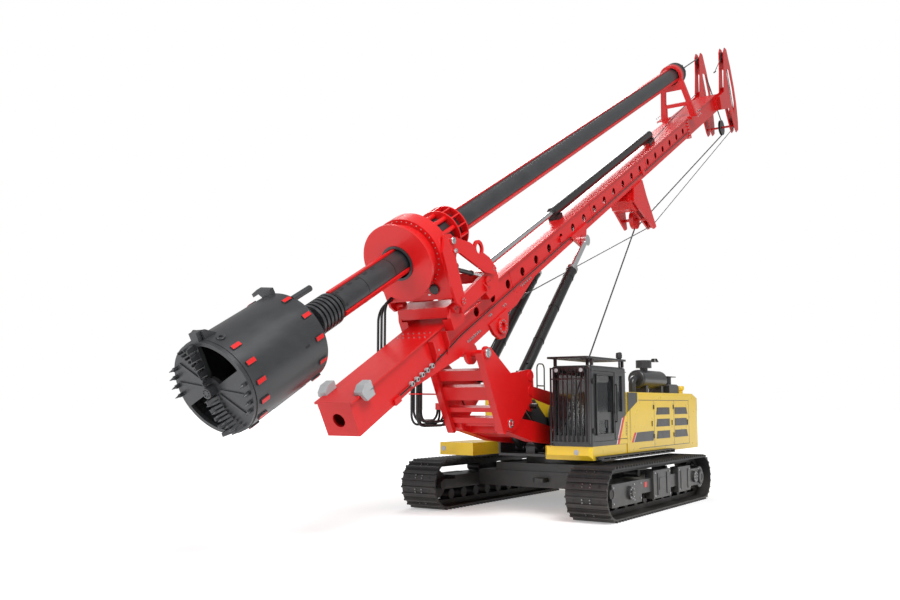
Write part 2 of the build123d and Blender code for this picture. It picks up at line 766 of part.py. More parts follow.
with BuildPart() as tilt_frame:
    edge_plane = strut_plane(*frame_edge, 0)
    edge_length = hypot(frame_edge[1][0] - frame_edge[0][0], frame_edge[1][1] - frame_edge[0][1])
    for hand in (-1, 1):
        with BuildSketch(side(hand * (girder_outer - girder_plate / 2))):
            with BuildLine():
                Polyline((4270, 3050), (4040, 3070), (3340, 2640), (3060, 2670), (2680, 2720), (2500, 2640),
                         (2470, 2240), (3120, 1660), (3290, 1590), (3600, 1640), (4260, 2860), close=True)
            make_face()
            for pin in (mast_pin, arm_tip, ram_foot):
                with Locations(pin):
                    Circle(boss_radius + 20)
        extrude(amount=girder_plate / 2, both=True)
        with BuildSketch(side(hand * girder_outer)):
            for pin in (mast_pin, arm_tip, ram_foot, link_tip):
                with Locations(pin):
                    Circle(boss_radius)
        extrude(amount=-hand * boss_plate)
        with BuildSketch(strut_plane(*frame_edge, hand * (girder_outer - bar_width / 2))):
            with Locations((edge_length / 2, 0)):
                SlotCenterToCenter(edge_length, 2 * bar_half)
        extrude(amount=bar_width / 2, both=True)
        middle = (girder_outer + link_y - link_plate) / 2
        with Locations(Plane(origin=(slew_x + link_tip[0], hand * middle, link_tip[1]), z_dir=(0, 1, 0))):
            Cylinder(pin_radius, girder_outer - link_y + link_plate)
    for x, z, width, thickness in cross_members:
        beam = Plane(origin=(slew_x + x, 0, z), x_dir=edge_plane.x_dir, z_dir=(0, -1, 0))
        with BuildSketch(beam):
            Rectangle(width, thickness)
        extrude(amount=girder_outer - girder_plate, both=True)
    for pin in (arm_tip, mast_pin, ram_foot):
        with Locations(Plane(origin=(slew_x + pin[0], 0, pin[1]), z_dir=(0, 1, 0))):
            Cylinder(pin_radius, 2 * girder_outer)
    eye_pin_start = luff_y + luff_eye_half + eye_room
    for hand in (-1, 1):
        middle = hand * (eye_pin_start + girder_outer) / 2
        with Locations(Plane(origin=(slew_x + luff_eye[0], middle, luff_eye[1]), z_dir=(0, 1, 0))):
            Cylinder(pin_radius, girder_outer - eye_pin_start)
    for (x, z), (long, tall) in hose_blocks:
        with BuildSketch(side(-(girder_outer - girder_plate / 2))):
            with Locations((x, z)):
                Rectangle(long, tall)
        extrude(amount=hose_reach)
    clamp_z = hose_blocks[2][0][1]
    with BuildSketch(level(clamp_z - 50)):
        for y, drop, low, end in frame_hoses_at:
            with Locations((drop, y)):
                Circle(hose_radius + pin_gap)
    extrude(amount=100, mode=Mode.SUBTRACT)
keep(tilt_frame.part, "tilt_frame")


ram_tip = mast_point(*ram_head)
rams = (
    # node, foot, tip, half spread, barrel radius, rod radius, barrel length, rod start, eye radius, eye half
    ("mast_ram", ram_foot, ram_tip, ram_y, ram_radius, ram_rod_radius, ram_barrel_length, 1100, 120, 55),
    ("luff_ram", luff_foot, luff_eye, luff_y, luff_radius, luff_rod_radius, luff_barrel_length, 420, 95,
     luff_eye_half),
)
for node, foot, tip, spread, radius, rod_radius, length, start, eye_radius, eye_half in rams:
    reach = hypot(tip[0] - foot[0], tip[1] - foot[1])
    with BuildPart() as barrels:
        for y in (-spread, spread):
            line = strut_plane(foot, tip, y)
            along = Plane(origin=line.origin, x_dir=(0, 1, 0), z_dir=line.x_dir)
            with Locations(Plane(origin=line.origin, z_dir=(0, 1, 0))):
                Cylinder(radius * 1.05, 1.8 * radius)
            with BuildSketch(along.offset(radius / 2)):
                Circle(radius)
            extrude(amount=length - radius / 2)
            with BuildSketch(along.offset(radius * 1.6)):
                Circle(rod_radius + pin_gap)
            extrude(amount=length, mode=Mode.SUBTRACT)
            with Locations(Plane(origin=line.origin, z_dir=(0, 1, 0))):
                Cylinder(pin_radius + pin_gap, 4 * radius, mode=Mode.SUBTRACT)
    keep(barrels.part, node + "_barrels")
    with BuildPart() as rods:
        for y in (-spread, spread):
            line = strut_plane(foot, tip, y)
            along = Plane(origin=line.origin, x_dir=(0, 1, 0), z_dir=line.x_dir)
            with BuildSketch(along.offset(start)):
                Circle(rod_radius)
            extrude(amount=reach - start - pin_radius - 20)
            eye = line.origin + line.x_dir * reach
            with Locations(Plane(origin=eye, z_dir=(0, 1, 0))):
                Cylinder(eye_radius, 2 * eye_half)
    keep(rods.part, node + "_rods")

# ================================================================ mast
hose_drop_x = 5700          # the drive's hoses come straight down here
hose_block_z = 2690
hose_block_height = 120
hose_block_half = 160
with BuildPart() as mast_lower:
    with BuildSketch(mast_side(0)):
        with BuildLine():
            Polyline((0, mast_front), (splice_up, mast_front), (splice_up, mast_rear), (6200, mast_rear),
                     (5200, mast_deep), (2900, mast_deep), (1500, mast_rear - 30), (0, mast_rear - 30),
                     close=True)
        make_face()
    extrude(amount=mast_half, both=True)
    with BuildSketch(mast_side(0)):
        with BuildLine():
            Polyline((40, mast_front - mast_wall), (splice_up, mast_front - mast_wall),
                     (splice_up, mast_rear + mast_wall), (6200, mast_rear + mast_wall),
                     (5200, mast_deep + mast_wall), (2900, mast_deep + mast_wall),
                     (1500, mast_rear - 30 + mast_wall), (40, mast_rear - 30 + mast_wall), close=True)
        make_face()
    extrude(amount=mast_half - mast_wall, both=True, mode=Mode.SUBTRACT)
    with BuildSketch(mast_face(mast_front)):
        with Locations((splice_up / 2, 0)):
            Rectangle(splice_up, 2 * rail_half)
    extrude(amount=rail_plate)
    with BuildSketch(mast_side(0)):
        for number in range(side_hole_count):
            up = side_hole_first + number * side_hole_pitch
            if up < splice_up - 300:
                with Locations((up, -1490)):
                    Circle(side_hole_radius)
    extrude(amount=2 * mast_half, both=True, mode=Mode.SUBTRACT)
    with BuildSketch(mast_cross(0)):
        with Locations(((mast_front + mast_rear) / 2 - 20, 0)):
            Circle(110)
    extrude(amount=100, both=True, mode=Mode.SUBTRACT)
    with BuildSketch(mast_cross(splice_up - 40)):
        with Locations(((mast_front + mast_rear) / 2 - 50, 0)):
            Rectangle(mast_front - mast_rear + 40, 2 * (mast_half + 45))
            Rectangle(mast_front - mast_rear - 60, 2 * (mast_half - 40), mode=Mode.SUBTRACT)
    extrude(amount=40)
    for y in (-270, 270):
        lug = strut_plane(mast_pin, arm_tip, y)
        with Locations(Plane(origin=lug.origin, z_dir=(0, 1, 0))):
            Cylinder(190, 60)
    with Locations(Plane(origin=(slew_x + mast_pin[0], 0, mast_pin[1]), z_dir=(0, 1, 0))):
        Cylinder(pin_radius + pin_gap, 1400, mode=Mode.SUBTRACT)
    for hand in (-1, 1):
        with BuildSketch(mast_side(hand * (mast_half + 30))):
            with BuildLine():
                Polyline((8000, -1600), (8900, -1600), (8650, -1960), (8380, -1960), close=True)
            make_face()
        extrude(amount=30, both=True)
    with Locations(Plane(origin=(slew_x + hose_drop_x, -(mast_half + hose_block_half), hose_block_z))):
        Box(200, 2 * hose_block_half + 20, hose_block_height)
keep(mast_lower.part, "mast_lower")

with BuildPart() as mast_upper:
    with BuildSketch(mast_cross(splice_up)):
        with Locations(((mast_front + mast_rear) / 2, 0)):
            Rectangle(mast_front - mast_rear, 2 * mast_half)
            Rectangle(mast_front - mast_rear - 2 * mast_wall, 2 * (mast_half - mast_wall), mode=Mode.SUBTRACT)
    extrude(amount=mast_end - splice_up)
    with BuildSketch(mast_face(mast_front)):
        with Locations(((rail_end + splice_up) / 2, 0)):
            Rectangle(rail_end - splice_up, 2 * rail_half)
    extrude(amount=rail_plate)
    with BuildSketch(mast_cross(splice_up)):
        with Locations(((mast_front + mast_rear) / 2 - 50, 0)):
            Rectangle(mast_front - mast_rear + 40, 2 * (mast_half + 45))
            Rectangle(mast_front - mast_rear - 60, 2 * (mast_half - 40), mode=Mode.SUBTRACT)
    extrude(amount=40)
keep(mast_upper.part, "mast_upper")

head_plates = (
    # inner face, outer face, as distances from the middle
    (mast_half + seat_gap, mast_half + 30),
    (mast_half + 150, mast_half + 180),
)
top_sheave = (21830, -330)
low_sheave = (21560, -2560)
near_sheave = (21760, -2480)
sheave_width = 70
sheave_pin = 35
sheaves = (
    # centre, y, radius, pin length
    (top_sheave, -(mast_half + 90), 190, 180),
    (top_sheave, mast_half + 90, 190, 180),
    (low_sheave, 0, 250, 2 * mast_half + 360),
    (near_sheave, mast_half + 90, 160, 180),
)
with BuildPart() as mast_head:
    for hand in (-1, 1):
        for inner, outer in head_plates:
            with BuildSketch(mast_side(hand * (inner + outer) / 2)):
                with BuildLine():
                    Polyline((20300, -1290), (20900, -1270), (21330, -660), (21640, -120), (21830, -20),
                             (21990, -110), (22090, -700), (22110, -1400), (22050, -1950), (21890, -2500),
                             (21740, -2760), (21500, -2780), (21400, -2620), (21250, -1900), (20300, -1730), close=True)
                make_face()
                with BuildLine():
                    Polyline((21360, -1180), (21640, -660), (21900, -760), (21930, -1400), (21870, -1850),
                             (21600, -2180), (21460, -1650), close=True)
                make_face(mode=Mode.SUBTRACT)
            extrude(amount=(outer - inner) / 2, both=True)
        with BuildSketch(mast_side(hand * (mast_half + 90))):
            with BuildLine():
                Polyline((20400, -1330), (20950, -1330), (21300, -1200), (21400, -1650), (21250, -1850),
                         (20400, -1690), close=True)
            make_face()
        extrude(amount=60, both=True)
    with BuildSketch(mast_cross(mast_end + seat_gap)):
        with Locations(((mast_front + mast_rear) / 2, 0)):
            Rectangle(mast_front - mast_rear, 2 * (mast_half + 50))
    extrude(amount=40)
    for centre, y, radius, pin_length in sheaves:
        spot = mast_point(*centre)
        with Locations(Plane(origin=(slew_x + spot[0], y, spot[1]), z_dir=(0, 1, 0))):
            Cylinder(sheave_pin, pin_length)
keep(mast_head.part, "mast_head")

with BuildPart() as head_sheaves:
    for centre, y, radius, pin_length in sheaves:
        spot = mast_point(*centre)
        with BuildSketch(Plane(origin=(slew_x + spot[0], y, spot[1]))):
            with BuildLine():
                Polyline((sheave_pin + pin_gap, -sheave_width / 2), (radius, -sheave_width / 2), (radius, -25),
                         (radius - 40, 0), (radius, 25), (radius, sheave_width / 2),
                         (sheave_pin + pin_gap, sheave_width / 2), close=True)
            make_face()
        revolve(axis=Axis((slew_x + spot[0], y, spot[1]), (0, 1, 0)))
keep(head_sheaves.part, "head_sheaves")

guide_arms = (
    # y, tip (up, off), half width of the tip
    (-290, (12480, -2960), 60),
    (180, (12900, -3120), 90),
    (330, (12900, -3120), 90),
)
guide_sheave = (12480, -2720)
side_sheave = (12860, -2980)
with BuildPart() as rope_guide:
    for y, tip, half in guide_arms:
        with BuildSketch(mast_side(y)):
            with BuildLine():
                Polyline((11850, -2050), (12050, mast_rear - seat_gap), (12700, mast_rear - seat_gap),
                         (12760, -2200), (tip[0] + half, tip[1]), (tip[0] - half, tip[1]), close=True)
            make_face()
        extrude(amount=22, both=True)
    with BuildSketch(mast_side(0)):
        with BuildLine():
            Polyline((11900, -2030), (12100, mast_rear - seat_gap - 10), (12600, mast_rear - seat_gap - 10),
                     (12600, -2150), (12150, -2400), (11900, -2250), close=True)
        make_face()
    extrude(amount=290, both=True)
    for spot, y, radius, width in ((guide_sheave, 0, 240, 110), (side_sheave, 255, 120, 80)):
        x, z = mast_point(*spot)
        with Locations(Plane(origin=(slew_x + x, y, z), z_dir=(0, 1, 0))):
            Cylinder(radius, width)
    for spot, low_y, high_y in ((guide_sheave, -290, 330), (side_sheave, 180, 330)):
        x, z = mast_point(*spot)
        with Locations(Plane(origin=(slew_x + x, (low_y + high_y) / 2, z), z_dir=(0, 1, 0))):
            Cylinder(40, high_y - low_y)
keep(rope_guide.part, "rope_guide")

with BuildPart() as crowd_cylinder:
    with BuildSketch(mast_cross(crowd_barrel[0])):
        with Locations((crowd_off, 0)):
            Circle(crowd_radius)
    extrude(amount=crowd_barrel[1] - crowd_barrel[0])
    with BuildSketch(mast_cross(crowd_barrel[0] - 1)):
        with Locations((crowd_off, 0)):
            Circle(crowd_rod_radius + pin_gap)
    extrude(amount=crowd_barrel[1] - crowd_barrel[0] - 80, mode=Mode.SUBTRACT)
    with BuildSketch(mast_face(mast_front + rail_plate + seat_gap)):
        for up in (crowd_barrel[0] + 120, crowd_barrel[1] - 120):
            with Locations((up, 0)):
                Rectangle(200, 260)
    extrude(amount=100)
keep(crowd_cylinder.part, "crowd_cylinder")

with BuildPart() as crowd_rod:
    with BuildSketch(mast_cross(crowd_rod_start)):
        with Locations((crowd_off, 0)):
            Circle(crowd_rod_radius)
    extrude(amount=crowd_rod_end - crowd_rod_start)
keep(crowd_rod.part, "crowd_rod")

# ================================================================ rotary drive
with BuildPart() as drive_gearbox:
    with BuildSketch(mast_cross(drive_low)):
        Circle(front_radius)
    extrude(amount=front_plate)
    with BuildSketch(mast_cross(drive_low + front_plate)):
        Circle(drum_radius)
    extrude(amount=housing_start - drive_low - front_plate)
    with BuildSketch(mast_cross(housing_start)):
        Circle(housing_radius)
        with Locations((housing_foot / 2, 0)):
            Rectangle(-housing_foot, 2 * housing_half)
    extrude(amount=housing_end - housing_start)
    with BuildSketch(mast_cross(housing_end)):
        Circle(rear_radius)
    extrude(amount=rear_boss)
    with BuildSketch(mast_cross(drive_low - 1)):
        Circle(sleeve_bore + sleeve_wall + pin_gap)
    extrude(amount=rear_end - drive_low + 10, mode=Mode.SUBTRACT)
    with BuildSketch(mast_cross(rear_end - ring_bolt_depth)):
        with PolarLocations(ring_bolt_circle / 2, ring_bolts):
            Circle(ring_bolt_radius)
    extrude(amount=ring_bolt_depth, mode=Mode.SUBTRACT)
keep(drive_gearbox.part, "drive_gearbox")

ring_flange = (3780, 4090)      # open red ring above the dampers (up)
with BuildPart() as drive_sleeve:
    with BuildSketch(mast_cross(drive_low - 20)):
        Circle(sleeve_bore + sleeve_wall)
        Circle(sleeve_bore, mode=Mode.SUBTRACT)
    extrude(amount=ring_flange[1] + 60 - drive_low + 20)
keep(drive_sleeve.part, "drive_sleeve")

ring_flange_radius = 430
rib_count = 14
with BuildPart() as drive_dampers:
    with BuildSketch(mast_cross(rear_end + seat_gap)):
        with PolarLocations(damper_ring, damper_count):
            Circle(damper_radius)
    extrude(amount=ring_flange[0] - rear_end - seat_gap)
    for up in (ring_flange[0], ring_flange[1] - 30):
        with BuildSketch(mast_cross(up)):
            Circle(ring_flange_radius)
            Circle(sleeve_bore + sleeve_wall + pin_gap, mode=Mode.SUBTRACT)
        extrude(amount=30)
    with BuildSketch(mast_cross(ring_flange[0])):
        with PolarLocations(ring_flange_radius - 30, rib_count):
            Rectangle(60, 24)
    extrude(amount=ring_flange[1] - ring_flange[0])
    with BuildSketch(mast_cross(rear_end + seat_gap)):
        Circle(damper_ring + damper_radius + 60)
        Circle(sleeve_bore + sleeve_wall + pin_gap, mode=Mode.SUBTRACT)
    extrude(amount=60)
keep(drive_dampers.part, "drive_dampers")

cheek_inner = housing_half + seat_gap
cheek_plate = 45
beam_y = 500                # side beams of the carriage, beside the mast's rails
beam_plate = 70
rail_top = mast_front + rail_plate
carriage_bosses = (
    # up, off, radius, inner y, outer y
    (2860, -1020, 90, beam_y, 580),
    (4040, -1020, 90, beam_y, 580),
    (2930, -930, 68, beam_y, 710),
    (3100, 70, 68, 605, 710),
    (3085, -100, 45, 605, 710),
)
with BuildPart() as drive_carriage:
    for hand in (-1, 1):
        with BuildSketch(mast_side(hand * (cheek_inner + cheek_plate / 2))):
            with BuildLine():
                Polyline((2950, 230), (3110, 190), (3200, 70), (3170, -110), (3070, -230), (3030, -640),
                         (3000, -930), (2930, -1010), (2830, -1000), (2740, -880), (2720, -600), (2750, 0),
                         close=True)
            make_face()
        extrude(amount=cheek_plate / 2, both=True)
        with BuildSketch(mast_side(hand * (cheek_inner - 60))):
            with BuildLine():
                Polyline((3115, 130), (3260, 100), (3730, -180), (4210, -640), (4350, -900), (4210, -960),
                         (3950, -820), (3350, -230), (3115, -170), close=True)
            make_face()
            with Locations((3960, -380)):
                Circle(150)
                Circle(90, mode=Mode.SUBTRACT)
        extrude(amount=22, both=True)
        with BuildSketch(mast_side(hand * beam_y)):
            with BuildLine():
                Polyline((2670, -1120), (2730, -980), (3010, -960), (3910, -880), (4350, -830), (4450, -900),
                         (4450, -1120), (4350, -1330), (3980, -1340), (3900, -1180), (3110, -1190), (3030, -1340),
                         (2670, -1340), close=True)
            make_face()
        extrude(amount=beam_plate / 2, both=True)
        for up in (2670, 3980):
            with BuildSketch(mast_cross(up)):
                with Locations(((rail_top + mast_front) / 2, hand * (rail_half + seat_gap + beam_y) / 2)):
                    Rectangle(200, beam_y - rail_half - seat_gap)
            extrude(amount=360)
        for up, off, radius, low_y, high_y in carriage_bosses:
            with BuildSketch(mast_side(hand * low_y)):
                with Locations((up, off)):
                    Circle(radius)
            extrude(amount=hand * (high_y - low_y))
    with BuildSketch(mast_cross(2690)):
        with Locations((-1020, 0)):
            Rectangle(190, 2 * beam_y)
    extrude(amount=330)
    with BuildSketch(mast_cross(crowd_rod_start - 200)):
        with Locations((crowd_off + 60, 0)):
            Rectangle(200, 2 * beam_y)
    extrude(amount=200)
keep(drive_carriage.part, "drive_carriage")

# ================================================================ hydraulic hoses
drive_hoses_at = (
    # y, up the housing's face, bend radius
    (-440, -640, 300),
    (-510, -690, 330),
    (-580, -740, 360),
)
with BuildPart() as drive_hoses:
    for y, off, bend in drive_hoses_at:
        start = mast_point(housing_start - seat_gap, off)
        corner = (hose_drop_x, start[1] - (hose_drop_x - start[0]) * up_mast.Z / -up_mast.X)
        stop = (hose_drop_x, hose_block_z + hose_block_height / 2 + seat_gap)
        with BuildLine(side(y)) as route:
            FilletPolyline(start, corner, stop, radius=bend)
        with BuildSketch(Plane(origin=route.line @ 0, z_dir=route.line % 0)):
            Circle(hose_radius)
        sweep(path=route.line)
keep(drive_hoses.part, "drive_hoses")

frame_hose_bend = 180
frame_hose_top = 2790 - seat_gap
frame_hose_end = 1980 - seat_gap
with BuildPart() as frame_hoses:
    for y, drop, low, end in frame_hoses_at:
        with BuildLine(side(y)) as route:
            FilletPolyline((drop, frame_hose_top), (drop, low), (end, low), (end, frame_hose_end),
                           radius=frame_hose_bend)
        with BuildSketch(Plane(origin=route.line @ 0, z_dir=route.line % 0)):
            Circle(hose_radius)
        sweep(path=route.line)
keep(frame_hoses.part, "frame_hoses")

# ================================================================ kelly bar and bucket
stub_radius = 150
with BuildPart() as kelly_bar:
    with BuildSketch(mast_cross(kelly_low)):
        Circle(kelly_radius)
    extrude(amount=kelly_end - kelly_low)
    with BuildSketch(mast_cross(bucket_back + socket_height + seat_gap)):
        Circle(stub_radius)
    extrude(amount=kelly_low - bucket_back - socket_height - seat_gap)
keep(kelly_bar.part, "kelly_bar")

with BuildPart() as kelly_keys:
    with BuildSketch(mast_cross(kelly_low)):
        with PolarLocations(kelly_radius + key_height / 2, key_count):
            Rectangle(key_height, key_width)
    extrude(amount=kelly_end - kelly_low)
    with BuildSketch(mast_cross(kelly_low - 10)):
        Circle(kelly_radius + seat_gap)
    extrude(amount=kelly_end, mode=Mode.SUBTRACT)
keep(kelly_keys.part, "kelly_keys")

spring_start = 110
spring_pitch = 85
spring_plate = 50
spring_rings = 6
spring_radius = 250
with BuildPart() as kelly_spring:
    for number in range(spring_rings):
        with BuildSketch(mast_cross(spring_start + number * spring_pitch)):
            Circle(spring_radius)
            Circle(stub_radius + seat_gap, mode=Mode.SUBTRACT)
        extrude(amount=spring_plate)
keep(kelly_spring.part, "kelly_spring")

guide_up = 17420            # the guide frame stands across the mast here
guide_plate = 110
guide_ring = sleeve_bore + 70
guide_foot = 460
with BuildPart() as kelly_guide:
    with BuildSketch(mast_cross(guide_up)):
        with BuildLine():
            Polyline((rail_top + seat_gap, -guide_foot - 60), (rail_top + seat_gap, guide_foot + 60),
                     (-1100, guide_foot + 50), (-150, 330), (-150, -330), (-1100, -guide_foot - 50), close=True)
        make_face()
        Circle(guide_ring)
        with BuildLine():
            Polyline((rail_top, -guide_foot + 110), (rail_top, guide_foot - 110),
                     (-900, 300), (-900, -300), close=True)
        make_face(mode=Mode.SUBTRACT)
        with BuildLine():
            Polyline((-800, -310), (-800, 310), (-420, 240), (-420, -240), close=True)
        make_face(mode=Mode.SUBTRACT)
        Circle(sleeve_bore, mode=Mode.SUBTRACT)
    extrude(amount=guide_plate)
    with BuildSketch(mast_cross(guide_up)):
        Circle(guide_ring)
        Circle(sleeve_bore, mode=Mode.SUBTRACT)
    extrude(amount=kelly_end - guide_up)
    for hand in (-1, 1):
        with BuildSketch(mast_cross(guide_up - 160)):
            with Locations((rail_top + seat_gap + 15, hand * guide_foot)):
                Rectangle(30, 300)
            with Locations(((rail_top + mast_front) / 2 - 15, hand * (rail_half + seat_gap + 45))):
                Rectangle(2 * seat_gap + rail_plate + 60, 90)
        extrude(amount=guide_plate + 320)
keep(kelly_guide.part, "kelly_guide")

swivel_steps = (
    # start, length, radius
    (0, 110, 330),
    (110, 60, 250),
    (170, 90, 330),
    (260, 130, 170),
    (390, 420, 75),
)
with BuildPart() as kelly_swivel:
    for start, length, radius in swivel_steps:
        with BuildSketch(mast_cross(kelly_end + seat_gap + start)):
            Circle(radius)
        extrude(amount=length)
keep(kelly_swivel.part, "kelly_swivel")

nozzle_length = 150
nozzle_width = 62
nozzle_height = 22
wear_rows = (
    # up, first angle, step, count
    (bucket_mouth + 55, 43, 23, 13),
    (bucket_back - 50 - nozzle_length, 28, 30, 11),
)
hook = (
    # off, left: a bracket that lies round the back rim
    (bucket_radius - 20, 30),
    (bucket_radius + 85, 20),
    (bucket_radius + 105, -200),
    (bucket_radius + 45, -330),
    (bucket_radius - 5, -320),
    (bucket_radius + 35, -210),
    (bucket_radius - 50, -130),
)
hook_width = 80
push_rod = (550, 300)       # rod beside the socket (off, left)
push_rod_radius = 45
push_rod_length = 400
lid_hinge = (bucket_mouth + 40, bucket_radius + 60)     # hinge pin of the lid (up, off)
lid_hinge_radius = 26
knuckle_radius = 46
ear_inner = 70
ear_outer = 110
with BuildPart() as bucket_shell:
    with BuildSketch(mast_cross(bucket_mouth)):
        Circle(bucket_radius)
        Circle(bucket_radius - bucket_wall, mode=Mode.SUBTRACT)
    extrude(amount=bucket_back - bucket_mouth)
    with BuildSketch(mast_cross(bucket_back - 40)):
        Circle(bucket_radius)
    extrude(amount=40)
    with BuildSketch(mast_cross(bucket_back)):
        Rectangle(340, 340)
        Rectangle(200, 200, mode=Mode.SUBTRACT)
    extrude(amount=socket_height)
    for up, first_angle, angle_step, count in wear_rows:
        with BuildSketch(mast_cross(up)):
            for number in range(count):
                with PolarLocations(bucket_radius + nozzle_height / 2 - 4, 1,
                                    start_angle=first_angle + number * angle_step):
                    Rectangle(nozzle_height + 8, nozzle_width)
        extrude(amount=nozzle_length)
    with BuildSketch(mast_cross(bucket_back - hook_width)):
        with BuildLine():
            Polyline(*hook, close=True)
        make_face()
        Circle(bucket_radius - 10, mode=Mode.SUBTRACT)
    extrude(amount=hook_width)
    with BuildSketch(mast_cross(bucket_back - 20)):
        with Locations(push_rod):
            Circle(push_rod_radius)
    extrude(amount=push_rod_length)
    for hand in (-1, 1):
        with BuildSketch(mast_side(hand * (ear_inner + ear_outer) / 2)):
            with BuildLine():
                Polyline((bucket_mouth + 10, bucket_radius - 15), (bucket_mouth + 220, bucket_radius - 15),
                         (lid_hinge[0] + 20, lid_hinge[1] + 45), (bucket_mouth + 10, lid_hinge[1] + 30), close=True)
            make_face()
        extrude(amount=(ear_outer - ear_inner) / 2, both=True)
    spot = mast_point(*lid_hinge)
    with Locations(Plane(origin=(slew_x + spot[0], 0, spot[1]), z_dir=(0, 1, 0))):
        Cylinder(lid_hinge_radius, 2 * ear_outer)
keep(bucket_shell.part, "bucket_shell")

lid_radius = bucket_radius - 10
lid_seat = bucket_mouth - seat_gap      # outer face of the shell's rim
feed_angle = 66                         # each cutting opening
tooth_circle_step = 112
tooth_rows = 5
with BuildPart() as bucket_lid:
    with BuildSketch(mast_cross(lid_seat - lid_plate)):
        Circle(lid_radius)
        for turn in (0, 180):
            with BuildLine():
                start = radians(turn)
                stop = radians(turn + feed_angle)
                middle = radians(turn + feed_angle / 2)
                Line((150 * cos(start), 150 * sin(start)), (590 * cos(start), 590 * sin(start)))
                ThreePointArc((590 * cos(start), 590 * sin(start)), (590 * cos(middle), 590 * sin(middle)),
                              (590 * cos(stop), 590 * sin(stop)))
                Line((590 * cos(stop), 590 * sin(stop)), (150 * cos(stop), 150 * sin(stop)))
                ThreePointArc((150 * cos(stop), 150 * sin(stop)), (150 * cos(middle), 150 * sin(middle)),
                              (150 * cos(start), 150 * sin(start)))
            make_face(mode=Mode.SUBTRACT)
    extrude(amount=lid_plate)
    for turn in (0, 180):
        for number in range(tooth_rows):
            reach = 130 + number * tooth_circle_step
            spot = (reach * cos(radians(turn - 7)), reach * sin(radians(turn - 7)))
            with BuildSketch(mast_cross(lid_seat - lid_plate)):
                with Locations(spot):
                    Rectangle(84, 70)
            with BuildSketch(mast_cross(lid_seat - lid_plate - tooth_length)):
                with Locations((spot[0], spot[1] + 45 * cos(radians(turn)))):
                    Rectangle(50, 12)
            loft()
    with BuildSketch(mast_cross(lid_seat - lid_plate - 130)):
        Circle(75)
    extrude(amount=130)
    with BuildSketch(mast_side(0)):
        with BuildLine():
            Polyline((lid_seat - lid_plate, lid_radius - 60), (lid_seat - lid_plate, lid_hinge[1] + knuckle_radius),
                     (lid_hinge[0], lid_hinge[1] + knuckle_radius), (lid_hinge[0], bucket_radius + 6),
                     (lid_seat, bucket_radius + 6), (lid_seat, lid_radius - 60), close=True)
        make_face()
        with Locations(lid_hinge):
            Circle(knuckle_radius)
            Circle(lid_hinge_radius + pin_gap, mode=Mode.SUBTRACT)
    extrude(amount=ear_inner - 4, both=True)
    with BuildSketch(mast_cross(bucket_mouth - 1)):
        Circle(bucket_radius + 6)
    extrude(amount=200, mode=Mode.SUBTRACT)
keep(bucket_lid.part, "bucket_lid")
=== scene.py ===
# %% [markdown]
# # A rotary piling rig
#
# A piling rig is a crawler crane base that carries a long mast. A rotary drive slides on the mast
# and turns a telescopic kelly bar, and the kelly bar turns a drilling bucket. The solids of the
# machine come in from the CAD frame, at full size in metres. This lesson dresses them: paint and
# steel first, then the ropes, hoses, bolts and lamps that give a machine its scale.

# %% Load the frame
import json
from math import cos, degrees, pi, radians, sin

import bmesh
import bpy
from mathutils import Matrix, Vector


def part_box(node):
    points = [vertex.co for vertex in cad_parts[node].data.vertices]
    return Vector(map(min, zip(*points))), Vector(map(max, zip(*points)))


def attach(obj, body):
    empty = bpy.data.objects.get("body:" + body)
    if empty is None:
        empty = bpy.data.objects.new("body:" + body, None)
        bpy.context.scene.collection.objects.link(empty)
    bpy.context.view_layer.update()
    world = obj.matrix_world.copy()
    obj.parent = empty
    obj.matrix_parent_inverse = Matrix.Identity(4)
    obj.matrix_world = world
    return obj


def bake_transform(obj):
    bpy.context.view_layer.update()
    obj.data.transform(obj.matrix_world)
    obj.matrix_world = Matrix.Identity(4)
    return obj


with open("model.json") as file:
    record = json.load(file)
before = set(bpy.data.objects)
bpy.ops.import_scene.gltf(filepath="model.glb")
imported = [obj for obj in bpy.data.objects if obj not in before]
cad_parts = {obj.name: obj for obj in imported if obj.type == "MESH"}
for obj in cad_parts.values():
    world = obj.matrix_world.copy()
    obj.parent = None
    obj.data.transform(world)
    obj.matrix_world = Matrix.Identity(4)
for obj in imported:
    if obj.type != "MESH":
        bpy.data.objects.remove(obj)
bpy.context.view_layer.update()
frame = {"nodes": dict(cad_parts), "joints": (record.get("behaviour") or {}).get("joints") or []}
nodes = frame["nodes"]

# %% [markdown]
# ## Where things are
#
# The frame's origin is under the middle of the whole rig, but every measure on the machine is easier
# to give from the slewing axis. The mast has its own axes too: "up" runs along it from the foot, and
# "off" runs from the mast towards the kelly bar, square to it. Two small functions turn those
# measures into points of the frame, so a bolt on the mast is given by its place on the mast.

# %% Points on the machine and on the mast
joints = {joint["name"]: joint for joint in frame["joints"]}
slew_x = joints["slew"]["pos_m"][0]
up_mast = Vector(joints["crowd"]["axis"])
off_mast = Vector((up_mast.z, 0, -up_mast.x))
mast_foot = Vector((slew_x + 8.077, 0, 3.184))      # on the kelly axis, over the foot plate
left = Vector((0, 1, 0))


def spot(x, y, z):
    """A point given from the slewing axis: ahead, to the left, above the ground."""
    return Vector((slew_x + x, y, z))


def on_mast(up, off, y=0):
    """A point given up the mast, off the kelly axis and to the left."""
    return mast_foot + up_mast * up + off_mast * off + left * y


print("slewing axis at x =", slew_x, " mast runs", tuple(round(n, 3) for n in up_mast))

# %% [markdown]
# ## The camera
#
# The rig is seen from a little over head height, ahead of it and to its left, tilted slightly upwards.
# Blender points a camera along its own -Z with +Y up, so its turn is a matrix whose columns are the
# view's right, up and backward directions.

# %% Camera
view_yaw = radians(-146.346)
view_pitch = radians(6.553)
camera_place = spot(17.4776, 8.6979, 2.0956)
lens = 35.99                    # millimetres
sensor_width = 36               # millimetres
farthest_seen = 500             # past the far edge of the floor


